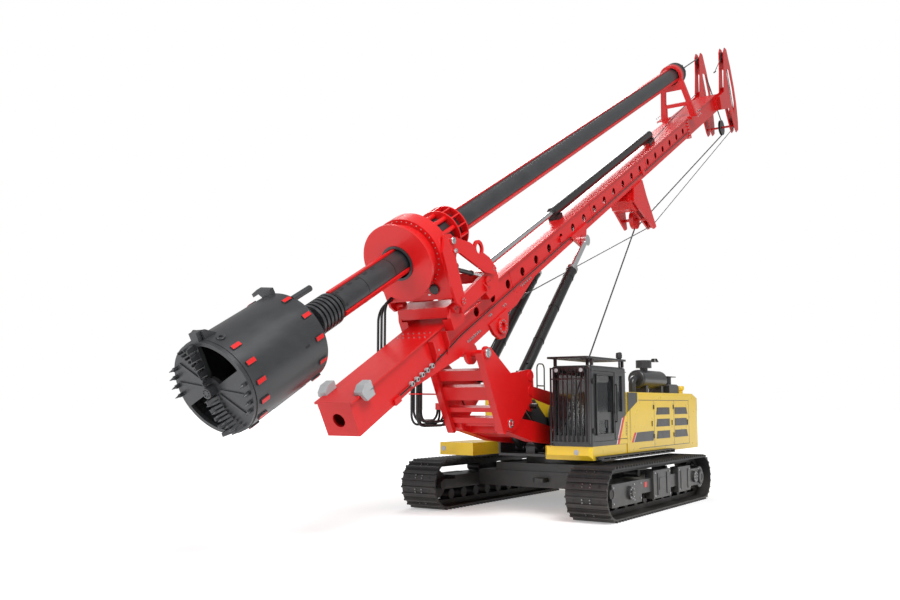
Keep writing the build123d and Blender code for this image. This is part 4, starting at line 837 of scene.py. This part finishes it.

# %% [markdown]
# ### Kelly bar
#
# The outer tube is rolled grey steel with three red-painted drive keys along it. Its foot carries rows
# of lock recesses. Thin dark inlays read as recesses at this size: their black is painted shade, the
# shade inside a recess. They cost a few faces where a cut would have to go through the frame's own solid.

# %% Points and patches on the bar
def on_bar(up, angle, radius):
    """A point round the kelly axis: up the mast, round from its front to the left, from its axis."""
    turn = radians(angle)
    return on_mast(up, radius * cos(turn), radius * sin(turn))


def away(angle):
    """The direction away from the kelly axis at an angle round it."""
    return on_bar(0, angle, 1) - on_mast(0, 0)


inlay_root = 0.004              # how deep a patch starts, so that it meets the round face all over
inlay_proud = 0.002


def inlay(mesh, up, angle, radius, tall, wide):
    """A small patch with rounded corners, on the bar or on the bucket's round shell, whose black is painted
    shade.
    """
    half = degrees(wide / 2 / radius)
    corner = min(tall, wide) * 0.25
    corner_turn = degrees(corner / radius)
    outline = [(tall / 2, half - corner_turn), (tall / 2 - corner, half), (corner - tall / 2, half),
               (-tall / 2, half - corner_turn), (-tall / 2, corner_turn - half), (corner - tall / 2, -half),
               (tall / 2 - corner, -half), (tall / 2, corner_turn - half)]
    slab(mesh, [on_bar(up + step, angle + turn, radius - inlay_root) for step, turn in outline],
         away(angle) * (inlay_proud + inlay_root))


print("one patch stands", inlay_proud, "m proud of the bar")

# %% Kelly: painted shade of the recesses, bands and swivel
kelly_radius = 0.222
between_keys = 66               # degrees from a key to the middle of the plain stretch beside it
mesh = bmesh.new()
for key_angle in (24, 144, 264):
    for up in row(0.84, 1.67, 5):
        inlay(mesh, up, key_angle, kelly_radius, 0.10, 0.045)
    for angle in (key_angle + 1.5, key_angle + between_keys):
        inlay(mesh, 0.72, angle, kelly_radius, 0.05, 0.05)
    for up in row(0.86, 1.26, 3):
        inlay(mesh, up, key_angle + between_keys, kelly_radius, 0.028, 0.14)
# The black of these patches is painted shade, the shade inside each recess.
make("kelly_recess_shade", black, "kelly", mesh)

band_half = 46                  # degrees, half the plain stretch between two keys
mesh = bmesh.new()
for up, height in ((1.30, 0.014), (2.04, 0.014), (0.665, 0.03)):
    for sector in (60, 180, 300):
        arc = [on_bar(up, angle, kelly_radius) for angle in row(sector - band_half, sector + band_half, 17)]
        for first, second in zip(arc, arc[1:]):
            middle = (first + second) / 2
            outward = (middle - on_mast(up, 0)).normalized()
            block(mesh, middle, up_mast, outward, (height, 0.006, (second - first).length * 1.06))
make("kelly_bands", black, "kelly", mesh)

swivel_top = max(up for up, reach in measured("kelly_swivel"))
mesh = bmesh.new()
ring_of_bolts(mesh, swivel_top, 0.16, 10, 0.014, up_mast)
for hand in (-1, 1):
    for up in (17.32, 17.48, 17.63):
        for off in (-1.24, -1.12):
            bolt(mesh, on_mast(up, off, hand * 0.61), left * hand, 0.018)
make("guide_bolts", pin_steel, "kelly_guide", mesh)

# %% [markdown]
# ### Drilling bucket
#
# The bucket's shell wears against the bore, so red wear pads stand round both of its rims. The lid
# carries pointed teeth in holders along its two cutting edges. A tooth is a cone with a square
# holder behind it, and all of them are one mesh on the lid's body.

# %% Bucket: wear pads, boss, and painted shade for its openings
mouth, back = -1.830, -0.375    # stations of the shell's two rims
bucket_side = 0.654             # radius
pad_rows = (
    # first end up the mast, first angle, angle between pads, count
    (mouth + 0.055, 43, 23, 13),
    (back - 0.200, 28, 30, 11),
)
mesh = bmesh.new()
for low, angle, step, count in pad_rows:
    up = low + 0.075
    for number in range(count):
        place = on_bar(up, angle + step * number, 0.676)
        block(mesh, place, up_mast, (place - on_mast(up, 0)).normalized(), (0.146, 0.008, 0.058))
make("wear_pads", red, "kelly", mesh, 0.002)

boss_place = on_bar(-1.70, 22, 0.652)
boss_axis = (boss_place - on_mast(-1.70, 0)).normalized()
mesh = bmesh.new()
collar(mesh, boss_place, boss_axis, 0.026, 0.058, 0.022, 0.006, 32)
for angle in (-30, 150):
    for up in row(mouth + 0.16, mouth + 1.11, 20):
        block(mesh, on_bar(up, angle, 0.655), up_mast, left, (0.051, 0.006, 0.010))
make("bucket_boss", bucket_steel, "kelly", mesh, 0.002)

# The hole in the boss and the shell's two openings are black patches: their black is painted shade, the
# shade inside them.
mesh = bmesh.new()
disc(mesh, boss_place - boss_axis * 0.001, boss_axis, 0.027, 0.008, 24)
inlay(mesh, -0.75, 89, bucket_side, 0.09, 0.035)
inlay(mesh, -1.43, 2, bucket_side, 0.006, 0.30)
make("bucket_opening_shade", black, "kelly", mesh)

# %% Bucket: teeth
lid_face = mouth - 0.060
mesh = bmesh.new()
for turn in (0, 180):
    for number in range(10):
        angle = turn - 5 - 22 * (number / 9)
        place = on_bar(lid_face - 0.055, angle, 0.11 + 0.054 * number)
        lean = (away(angle + 90).normalized() * 0.75 - up_mast).normalized()
        block(mesh, place, lean, away(angle), (0.09, 0.032, 0.04))
        bar(mesh, place + lean * 0.03, place + lean * 0.075, 0.020, 10)
        bar(mesh, place + lean * 0.075, place + lean * 0.125, 0.019, 10, 0.003)
    for angle in row(turn + 84, turn + 120, 4):
        place = on_bar(lid_face - 0.03, angle, 0.600)
        lean = (away(angle) * 0.1 - up_mast).normalized()
        block(mesh, place, lean, away(angle), (0.07, 0.035, 0.045))
        bar(mesh, place + lean * 0.03, place + lean * 0.10, 0.021, 10, 0.003)
make("lid_teeth", bucket_steel, "bucket_lid", mesh, 0.002)

# %% Bucket: ribs of the lid
rib_start, rib_length = 0.12, 0.44
mesh = bmesh.new()
for angle in (100, 130, 280, 310):
    inner = on_bar(lid_face, angle, rib_start)
    outer = on_bar(lid_face, angle, rib_start + rib_length)
    block(mesh, (inner + outer) / 2 - up_mast * 0.008, outer - inner, up_mast, (rib_length, 0.02, 0.035))
for angle in row(0, 315, 8):
    bolt(mesh, on_bar(lid_face - 0.13, angle, 0.045), -up_mast, 0.010)
make("lid_ribs", bucket_steel, "bucket_lid", mesh, 0.003)

# %% [markdown]
# ## Linkage
#
# Each big pivot is a bright steel pin with a ring of bolts round its end, and those ends are what the
# eye follows through the linkage. The rams have a gland ring where the rod comes out, and an oil pipe
# held by straps along the barrel.

# %% Pins of the linkage
def pin_cap(mesh, place, axis, radius):
    """The end of a pivot pin: its face, a groove and the keeper's bolts."""
    turned(mesh, place, axis,
           [(0, pinhole), (0, radius), (0.02, radius), (0.028, radius * 0.9), (0.028, radius * 0.62),
            (0.016, radius * 0.58), (0.016, pinhole)], 40)
    for angle in (30, 150, 270):
        spoke = Matrix.Rotation(radians(angle), 3, axis) @ forward
        bolt(mesh, place + spoke * radius * 0.76 + axis * 0.026, axis, radius * 0.10)


frame_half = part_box("tilt_frame")[1][1]
linkage_pins = {
    # for each body: x, z, y of the face, radius
    "tilt_frame": (
        (4.170, 2.960, frame_half, 0.085),
        (3.370, 1.735, 0.600, 0.080),
        (2.590, 2.335, 0.585, 0.070),
        (2.610, 2.605, 0.560, 0.075),
    ),
    "upper": (
        (1.360, 1.440, 0.600, 0.080),
        (0.580, 2.040, 0.600, 0.070),
    ),
}
for body, pins in linkage_pins.items():
    mesh = bmesh.new()
    for x, z, face, radius in pins:
        for hand in (-1, 1):
            pin_cap(mesh, spot(x, hand * face, z), left * hand, radius)
    make(body + "_pin_caps", pin_steel, body, mesh)

# %% Gussets of the tilt frame
# The gussets wear the red with painted shade in it, for the shade they lie in.
mesh = bmesh.new()
for hand in (-1, 1):
    for x, z in ((3.55, 2.25), (3.78, 2.0), (3.2, 2.1)):
        block(mesh, spot(x, hand * 0.50, z), Vector((0.6, 0, 0.8)), left, (0.22, 0.035, 0.03))
make("tilt_frame_gussets", shaded_red, "tilt_frame", mesh, 0.004)

# %% Rams: glands and pipes
def dress_barrel(glands, pipes, foot, ahead, outward, radius, length):
    """A gland round the end of one barrel, and a strapped pipe along it."""
    end = foot + ahead * length
    turned(glands, end - ahead * 0.09, ahead,
           [(0, radius + 0.001), (0, radius + 0.012), (0.085, radius + 0.012), (0.095, radius + 0.002),
            (0.095, radius * 0.7), (0, radius * 0.7)], 40)
    pipe_start, pipe_stop = foot + ahead * 0.25, end - ahead * 0.12
    shift = outward * (radius + 0.022)
    bar(pipes, pipe_start + shift, pipe_stop + shift, 0.014, 12)
    for place in (pipe_start, pipe_stop):
        bar(pipes, place + shift * 0.8, place + shift * 1.12, 0.022, 12)
    for share in (0.3, 0.6, 0.9):
        turned(pipes, foot + ahead * length * share, ahead,
               [(-0.012, radius - 0.002), (-0.012, radius + 0.008), (0.012, radius + 0.008),
                (0.012, radius - 0.002), (-0.012, radius - 0.002)], 32)


rods_low, rods_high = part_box("mast_ram_rods")
mast_ram_head = Vector((rods_low[0] + 0.10, 0, rods_high[2] - 0.10))
rams = (
    # body, foot, head, y, barrel radius, barrel length
    ("luff_ram_barrels", spot(1.450, 0, 1.235), spot(2.800, 0, 2.300), 0.225, 0.105, 1.400),
    ("mast_ram_barrels", spot(2.610, 0, 2.605), mast_ram_head, 0.430, 0.108, 3.220),
)
for body, foot, head, y, radius, length in rams:
    ahead = (head - foot).normalized()
    over = ahead.cross(left).normalized()
    if over.z < 0:
        over = -over
    glands, pipes = bmesh.new(), bmesh.new()
    for hand in (-1, 1):
        outward = (left * hand * 0.5 + over * 0.87).normalized()
        dress_barrel(glands, pipes, foot + left * hand * y, ahead, outward, radius, length)
    make(body + "_glands", pin_steel, body, glands)
    make(body + "_pipes", black, body, pipes)

# %% [markdown]
# ## House and cab
#
# The yellow house is pressed sheet with doors, so it shows as thin dark gaps, small catches and barred
# slots. The dark panels, the cab's corner panel and the red and white bands are each a thin plate, a
# few millimetres proud of the sheet.

# %% House panels
house_side = 1.750
plate_root = 0.002              # how far a plate reaches into the sheet


def side_plate(mesh, corners, hand=1, proud=0.004):
    """A thin plate on the side of the house: corners as (x, z)."""
    slab(mesh, [spot(x, hand * (house_side - plate_root), z) for x, z in corners],
         left * hand * (proud + plate_root))


def side_strip(mesh, rear, front, low, high, hand, proud):
    """A rectangle on the side of the house, between two x and two heights."""
    side_plate(mesh, ((rear, low), (front, low), (front, high), (rear, high)), hand, proud)


mesh = bmesh.new()
side_plate(mesh, ((0.775, 2.31), (0.26, 2.31), (0.26, 2.13), (0.775, 1.92)))
side_plate(mesh, ((0.30, 1.52), (-0.63, 1.53), (-0.58, 1.33), (0.46, 1.33)))
side_plate(mesh, ((-0.05, 1.52), (-0.90, 1.53), (-0.86, 1.33), (0.05, 1.33)), -1)
make("house_dark_panels", charcoal, "upper", mesh, 0.0015)

mesh = bmesh.new()
side_plate(mesh, ((0.805, 1.90), (0.90, 1.85), (1.195, 1.32), (0.805, 1.32)))
make("cab_corner_panel", yellow, "upper", mesh, 0.0015)

mesh = bmesh.new()
side_plate(mesh, ((0.905, 1.85), (1.015, 1.82), (1.30, 1.32), (1.20, 1.32)))
side_plate(mesh, ((0.33, 1.52), (0.43, 1.52), (0.585, 1.33), (0.49, 1.33)))
make("red_bands", red, "upper", mesh, 0.0015)

mesh = bmesh.new()
side_plate(mesh, ((1.02, 1.82), (1.05, 1.81), (1.335, 1.32), (1.305, 1.32)))
side_plate(mesh, ((0.305, 1.52), (0.325, 1.52), (0.483, 1.33), (0.463, 1.33)))
make("white_bands", white_mark, "upper", mesh, 0.001)

# %% House doors: gaps
gap_half = 0.006                # half the width of a dark gap
door_rear, door_front = -2.80, 0.20
doors_low, doors_high = 1.20, 2.16
mesh = bmesh.new()
for hand in (-1, 1):
    for x in (-0.65, -1.83, door_rear):
        side_strip(mesh, x - gap_half, x + gap_half, doors_low, doors_high, hand, 0.001)
    for z in (doors_low, doors_high):
        side_strip(mesh, door_rear, door_front, z - gap_half, z + gap_half, hand, 0.0012)
for x in (0.62, 0.66):
    side_strip(mesh, x - 0.005, x + 0.005, 1.37, 2.02, 1, 0.001)
for z in row(1.48, 1.72, 9):
    side_strip(mesh, 0.815, 0.885, z, z + 0.013, 1, 0.0052)
make("house_gaps", black, "upper", mesh)

# %% House doors: hinges, catches and screws
mesh = bmesh.new()
for hand in (-1, 1):
    for x in (-0.62, -1.80):
        for z in (1.42, 2.02):
            block(mesh, spot(x, hand * (house_side + 0.006), z), forward, left, (0.05, 0.016, 0.09))
    for x in (-1.70, -0.52, -2.70):
        block(mesh, spot(x, hand * (house_side + 0.005), 1.68), forward, left, (0.035, 0.014, 0.11))
        disc(mesh, spot(x, hand * (house_side + 0.010), 1.72), left * hand, 0.012, 0.008, 16)
make("house_catches", black, "upper", mesh, 0.003)

ballast_low, ballast_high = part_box("counterweight")
mesh = bmesh.new()
for hand in (-1, 1):
    for x in (-0.72, -0.58, -1.90, -1.76, -2.78):
        for z in (1.26, 2.10):
            disc(mesh, spot(x, hand * house_side, z), left * hand, 0.010, 0.005, 12)
for y in (-0.9, 0.9):
    turned(mesh, Vector((ballast_low[0] + 0.35, y, ballast_high[2])), upright,
           [(0, pinhole), (0, 0.075), (0.05, 0.075), (0.06, 0.065), (0.06, pinhole)], 28)
make("house_screws", pin_steel, "upper", mesh)

# %% House doors: barred slots
slot_rows = ((1.36, 1.52), (1.61, 1.77), (1.86, 2.01))      # low, high
slot_columns = (
    # low rear corner, high rear corner, high front corner, low front corner
    (-1.56, -1.56, -0.82, -0.76),
    (-2.72, -2.64, -1.88, -1.88),
)
slot_bars = 6
mesh = bmesh.new()
for hand in (-1, 1):
    for rear_low, rear_high, front_high, front_low in slot_columns:
        middle = (rear_high + front_high) / 2
        length = front_high - rear_high - 0.03
        for low, high in slot_rows:
            corners = ((rear_low, low), (rear_high, high), (front_high, high), (front_low, low))
            side_plate(mesh, corners, hand, 0.003)
            for number in range(slot_bars):
                z = low + (high - low) * (number + 0.5) / slot_bars
                place = spot(middle, hand * (house_side + 0.004), z)
                block(mesh, place, forward, left, (length, 0.008, 0.010))
make("grille_mesh", charcoal, "upper", mesh)

# %% Walkway
walkway_middle = 1.825
walkway_rear = -1.44
mesh = bmesh.new()
for hand, front in ((1, 2.30), (-1, 1.20)):
    for z in (1.075, 1.125):
        for y in (1.765, 1.885):
            bar(mesh, spot(front, hand * y, z), spot(walkway_rear, hand * y, z), 0.014, 10)
    for x in row(front - 0.06, walkway_rear, 14):
        block(mesh, spot(x, hand * walkway_middle, 1.10), forward, left, (0.035, 0.13, 0.045))
    for x in row(front - 0.02, walkway_rear, 38):
        block(mesh, spot(x, hand * walkway_middle, 1.134), forward, left, (0.018, 0.118, 0.008))
make("walkway", charcoal, "upper", mesh, 0.002)

# %% Beacon, filler cap and engine parts
guard_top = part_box("roof_guard")[1][2]
beacon_profile = [(0, pinhole), (0, 0.045), (0.04, 0.045), (0.05, 0.06), (0.10, 0.062), (0.15, 0.055),
                  (0.165, 0.03), (0.165, pinhole)]
mesh = bmesh.new()
turned(mesh, spot(0.92, 1.66, guard_top - 0.02), upright, beacon_profile, 28)
bar(mesh, spot(0.92, 1.66, 2.78), spot(0.92, 1.66, guard_top), 0.018, 12)
make("beacon", charcoal, "upper", mesh)

filler_profile = [(0, pinhole), (0, 0.055), (0.08, 0.055), (0.10, 0.085), (0.17, 0.085), (0.19, 0.07),
                  (0.19, pinhole)]
mesh = bmesh.new()
turned(mesh, spot(-3.72, 1.25, 2.32), upright, filler_profile, 32)
make("filler_cap", yellow, "upper", mesh)

mesh = bmesh.new()
for x in row(-2.42, -2.942, 10):
    block(mesh, spot(x, 1.25, 2.703), forward, left, (0.022, 0.34, 0.02))
bar(mesh, spot(-2.05, 1.25, 3.02), spot(-2.05, 1.25, 3.10), 0.10, 32, 0.06)
make("engine_hood_parts", black, "upper", mesh, 0.003)

# %% [markdown]
# ### Cab
#
# The cab is the part that people look into. Black rubber seals run round the door's pane and the side
# of the cab, the door has a handle and hinges, a wiper lies across the front, and work lamps sit under
# the roof edge. Inside, the seat has two consoles with joysticks, a screen and a pair of pedals.

# %% Cab door: seal and handle
door_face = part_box("cab_door")[1][1]
pane_low, pane_high = (Vector(corner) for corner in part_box("door_glass"))
pane_middle = (pane_low + pane_high) / 2
pane_size = pane_high - pane_low
seal_out = 0.012                # from the pane's edge to the middle of the seal
seal_y = door_face - 0.01
mesh = bmesh.new()
for x in (pane_low.x - seal_out, pane_high.x + seal_out):
    block(mesh, Vector((x, seal_y, pane_middle.z)), upright, left, (pane_size.z + 0.05, 0.03, 0.024))
for z in (pane_low.z - seal_out, pane_high.z + seal_out):
    block(mesh, Vector((pane_middle.x, seal_y, z)), forward, left, (pane_size.x + 0.05, 0.03, 0.024))
block(mesh, Vector((pane_low.x - 0.055, door_face + 0.012, 2.0)), upright, left, (0.20, 0.022, 0.035))
make("door_seal", black, "cab_door", mesh, 0.004)

# %% Cab outside
rail_x = 1.37                   # grab rail behind the door
glass_x = 2.462                 # just ahead of the front pane
mesh = bmesh.new()
for z in (1.60, 2.50):
    bar(mesh, spot(2.36, 1.765, z - 0.05), spot(2.36, 1.765, z + 0.05), 0.018, 14)
    block(mesh, spot(2.385, 1.757, z), forward, left, (0.05, 0.012, 0.08))
bar(mesh, spot(rail_x, 1.79, 1.75), spot(rail_x, 1.79, 2.45), 0.014, 12)
for z in (1.75, 2.45):
    bar(mesh, spot(rail_x, 1.745, z), spot(rail_x, 1.795, z), 0.014, 12)
bar(mesh, spot(glass_x, 1.15, 1.62), spot(glass_x, 1.50, 2.20), 0.008, 10)
bar(mesh, spot(glass_x, 1.42, 1.95), spot(glass_x, 1.42, 2.52), 0.007, 10)
for y in (1.10, 1.60):
    block(mesh, spot(2.50, y, 2.70), forward, left, (0.07, 0.13, 0.09))
make("cab_fittings", black, "upper", mesh, 0.003)

mesh = bmesh.new()
for y in (1.10, 1.60):
    disc(mesh, spot(2.534, y, 2.70), forward, 0.036, 0.008, 28)
for y in (-1.45, 1.45):
    disc(mesh, spot(2.455, y, 1.21), forward, 0.05, 0.012, 28)
make("work_lamps", pale_grey, "upper", mesh)

cab_side = 1.752
side_seals = (
    # x and z of one end, x and z of the other
    ((0.82, 1.42), (1.38, 1.42)),
    ((0.82, 2.70), (2.42, 2.70)),
    ((1.38, 1.42), (1.38, 2.70)),
)
mesh = bmesh.new()
for (rear, low), (front, high) in side_seals:
    bar(mesh, spot(rear, cab_side, low), spot(front, cab_side, high), 0.007, 8)
make("cab_seals", black, "upper", mesh)

# %% Cab inside
knob_profile = [(0, pinhole), (0, 0.024), (0.05, 0.034), (0.10, 0.032), (0.12, 0.018), (0.12, pinhole)]
mesh = bmesh.new()
for y in (1.03, 1.67):
    block(mesh, spot(1.45, y, 1.72), forward, left, (0.62, 0.13, 0.16))
    block(mesh, spot(1.30, y, 1.52), forward, left, (0.25, 0.12, 0.28))
    bar(mesh, spot(1.68, y, 1.79), spot(1.70, y, 1.95), 0.016, 14)
    turned(mesh, spot(1.70, y, 1.93), Vector((0.1, 0, 1)), knob_profile, 20)
block(mesh, spot(2.28, 1.06, 2.05), Vector((0.9, 0.3, 0)), Vector((-0.3, 0.9, 0)), (0.04, 0.24, 0.18))
bar(mesh, spot(2.30, 1.02, 1.38), spot(2.28, 1.05, 2.0), 0.02, 12)
for y in (1.25, 1.45):
    bar(mesh, spot(2.20, y, 1.38), spot(2.08, y, 1.75), 0.016, 12)
    block(mesh, spot(2.16, y, 1.43), Vector((0.8, 0, 0.4)), left, (0.20, 0.10, 0.02))
make("cab_controls", charcoal, "upper", mesh, 0.006)

# %% [markdown]
# ## Crawlers
#
# Every shoe is bolted to its chain link with four bolts and has a pair of round holes that let soil
# out. The side frames carry covers with bolts round them. A shape repeated for forty-odd shoes on
# each track has to be cheap, so each bolt is a six-sided head without a washer.

# %% Places round a track
track_low, track_high = (Vector(corner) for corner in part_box("track_left"))
track_middle = (track_low + track_high) / 2
half_height = (track_high.z - track_low.z) / 2
loop_end = (track_high.x - track_low.x) / 2 - half_height   # from the track's middle to the end's centre
shoe_reach = half_height - 0.051                            # from the loop's centre line to a shoe's face
shoe_pitch = 0.262


def round_loop(distance):
    """A point on a track's loop at a distance round it, with its outward direction."""
    arc = pi * shoe_reach
    if distance < 2 * loop_end:
        return Vector((loop_end - distance, 0, shoe_reach)), upright
    if distance < 2 * loop_end + arc:
        turn = (distance - 2 * loop_end) / shoe_reach
        out = Vector((-sin(turn), 0, cos(turn)))
        return Vector((-loop_end, 0, 0)) + out * shoe_reach, out
    if distance < 4 * loop_end + arc:
        return Vector((distance - 3 * loop_end - arc, 0, -shoe_reach)), -upright
    turn = (distance - 4 * loop_end - arc) / shoe_reach
    out = Vector((sin(turn), 0, -cos(turn)))
    return Vector((loop_end, 0, 0)) + out * shoe_reach, out


lap = 4 * loop_end + 2 * pi * shoe_reach
shoe_count = round(lap / shoe_pitch)


def shoes():
    """Every shoe of both tracks: its middle, its outward direction and the way its track runs."""
    for hand in (-1, 1):
        middle = Vector((track_middle.x, hand * track_middle.y, half_height + track_low.z))
        for number in range(shoe_count):
            point, out = round_loop(number * lap / shoe_count)
            yield middle + point, out, out.cross(left)


print("shoes on each track:", shoe_count)

# %% Shoe bolts, and painted shade for the holes
mesh = bmesh.new()
for middle, out, along in shoes():
    for side in (-0.075, 0.075):
        for step in (-0.028, 0.028):
            foot = middle + out * 0.012 + left * side + along * step
            bar(mesh, foot, foot + out * 0.018, 0.014, 6)
make("shoe_bolts", worn_edge, "undercarriage", mesh)

# Each hole is a thin black disc on the shoe's face: its black is painted shade, the shade inside the hole.
mesh = bmesh.new()
for middle, out, along in shoes():
    for side in (-0.25, 0.25):
        foot = middle + out * 0.0125 + left * side
        bar(mesh, foot, foot + out * 0.002, 0.022, 8)
make("shoe_hole_shade", black, "undercarriage", mesh)

# %% Side frames: bolts
motor_x, motor_z = -2.379, 0.4895       # the track motor, on the sprocket's axis
cover_x, cover_z = 1.57, 0.455
bolt_circles = (
    # x, z, radius, y of the face, count
    (cover_x, cover_z, 0.095, 2.145, 8),
    (-2.0, 0.520, 0.09, 2.145, 8),
    (motor_x, motor_z, 0.19, 2.100, 16),
)
box_bolts = ([(x, z) for x in (-0.40, 0.40) for z in (0.30, 0.74)]
             + [(x, z) for x in (-1.60, -0.98) for z in (0.33, 0.72)])
frame_bolts = [(x, z) for x in (1.06, 1.38, 2.34) for z in (0.32, 0.60)]
mesh = bmesh.new()
for hand in (-1, 1):
    for x, z, radius, face, count in bolt_circles:
        for ahead, above in circle(count, radius):
            bolt(mesh, spot(x + ahead, hand * face, z + above), left * hand, 0.012)
    for x, z in box_bolts:
        bolt(mesh, spot(x, hand * 2.135, z), left * hand, 0.016)
    for x, z in frame_bolts:
        bolt(mesh, spot(x, hand * 2.100, z), left * hand, 0.016)
make("side_frame_bolts", pin_steel, "undercarriage", mesh)

# %% Side frames: covers and marks
cover_profile = [(0, pinhole), (0, 0.06), (0.018, 0.06), (0.026, 0.05), (0.026, pinhole)]
motor_cover_profile = [(0, pinhole), (0, 0.15), (0.03, 0.15), (0.045, 0.13), (0.045, 0.07), (0.03, 0.06),
                       (0.03, pinhole)]
mesh = bmesh.new()
for hand in (-1, 1):
    turned(mesh, spot(cover_x, hand * 2.145, cover_z), left * hand, cover_profile, 28)
    turned(mesh, spot(motor_x, hand * 2.100, motor_z), left * hand, motor_cover_profile, 40)
    for x in (-0.25, 0.25):
        block(mesh, spot(x, hand * 2.14, 0.52), upright, left, (0.42, 0.02, 0.03))
    block(mesh, spot(0.005, hand * 2.138, 0.52), forward, left, (0.34, 0.014, 0.24))
    for x in (-1.5, -1.08):
        block(mesh, spot(x, hand * 2.138, 0.52), upright, left, (0.40, 0.016, 0.025))
make("side_frame_covers", under_grey, "undercarriage", mesh, 0.003)

mesh = bmesh.new()
for hand in (-1, 1):
    block(mesh, spot(0.78, hand * 2.09, 0.55), forward, left, (0.13, 0.012, 0.10))
make("side_frame_marks", red, "undercarriage", mesh, 0.002)

# %% [markdown]
# ## Floor and light
#
# In a studio a machine stands on a white floor that runs into a white background, with a soft shadow
# that holds the tracks down. The floor takes shadow as a real surface does, and a little glow that
# only the camera, mirrors and glass see brings it up to white. Broad lamps keep the paint even.

# %% Floor
floor_half = 220
floor_glow = 0.35               # under the machine
far_glow = 0.6                  # what is added where the floor is far away
glow_start, glow_length = 14, 16


def backdrop_finish():
    """Pale floor: lit like a real one, with a glow for the camera and for glossy reflections."""
    finish = Finish("floor")
    path = finish.tree.nodes.new("ShaderNodeLightPath")
    seen = Number(finish, path.outputs["Is Camera Ray"]) + Number(finish, path.outputs["Is Glossy Ray"])
    seen = seen + Number(finish, path.outputs["Is Transmission Ray"])
    finish.shade(base_color=(0.8, 0.8, 0.8), roughness=0.9, emission_color=(1, 1, 1))
    across = finish.node("ShaderNodeVectorMath", {"operation": "LENGTH"}, {0: finish.place()}, out="Value")
    far = finish.node("ShaderNodeClamp", inputs={"Value": (across - glow_start) / glow_length})
    finish.put(finish.shader.inputs["Emission Strength"], seen * (floor_glow + far * far_glow))
    finish.shader.inputs["Specular IOR Level"].default_value = 0
    return finish.material


floor_mesh = bmesh.new()
bmesh.ops.create_grid(floor_mesh, x_segments=1, y_segments=1, size=floor_half)
floor = bpy.data.objects.new("floor", bpy.data.meshes.new("floor"))
floor_mesh.to_mesh(floor.data)
floor_mesh.free()
floor.data.materials.append(backdrop_finish())
bpy.context.scene.collection.objects.link(floor)
print("floor from", -floor_half, "to", floor_half)

# %% World
sky_strength = 0.45
world = bpy.data.worlds.new("studio")
bpy.context.scene.world = world
world.use_nodes = True
world_tree = world.node_tree
sky = world_tree.nodes["Background"]
white = world_tree.nodes.new("ShaderNodeBackground")
choose = world_tree.nodes.new("ShaderNodeMixShader")
path = world_tree.nodes.new("ShaderNodeLightPath")
for background, strength in ((sky, sky_strength), (white, 1)):
    background.inputs["Color"].default_value = (1, 1, 1, 1)
    background.inputs["Strength"].default_value = strength
world_tree.links.new(path.outputs["Is Camera Ray"], choose.inputs["Fac"])
world_tree.links.new(sky.outputs[0], choose.inputs[1])
world_tree.links.new(white.outputs[0], choose.inputs[2])
world_tree.links.new(choose.outputs[0], world_tree.nodes["World Output"].inputs["Surface"])
print("the sky lights with", sky_strength, "and shows as 1")


# %% Lamps
def lamp(name, place, target, size, power):
    """A square soft lamp that faces a target."""
    light = bpy.data.objects.new(name, bpy.data.lights.new(name, "AREA"))
    light.data.size = size
    light.data.energy = power
    light.location = place
    light.rotation_mode = "QUATERNION"
    light.rotation_quaternion = (target - place).to_track_quat("-Z", "Y")
    bpy.context.scene.collection.objects.link(light)


rig_middle = spot(4, 0, 5)
lamp("key", spot(14, 16, 24), rig_middle, 14, 7000)
lamp("front fill", spot(26, -4, 7), rig_middle, 12, 1900)
lamp("rear rim", spot(-16, -12, 20), rig_middle, 12, 3000)
bpy.context.scene.view_settings.view_transform = "Standard"
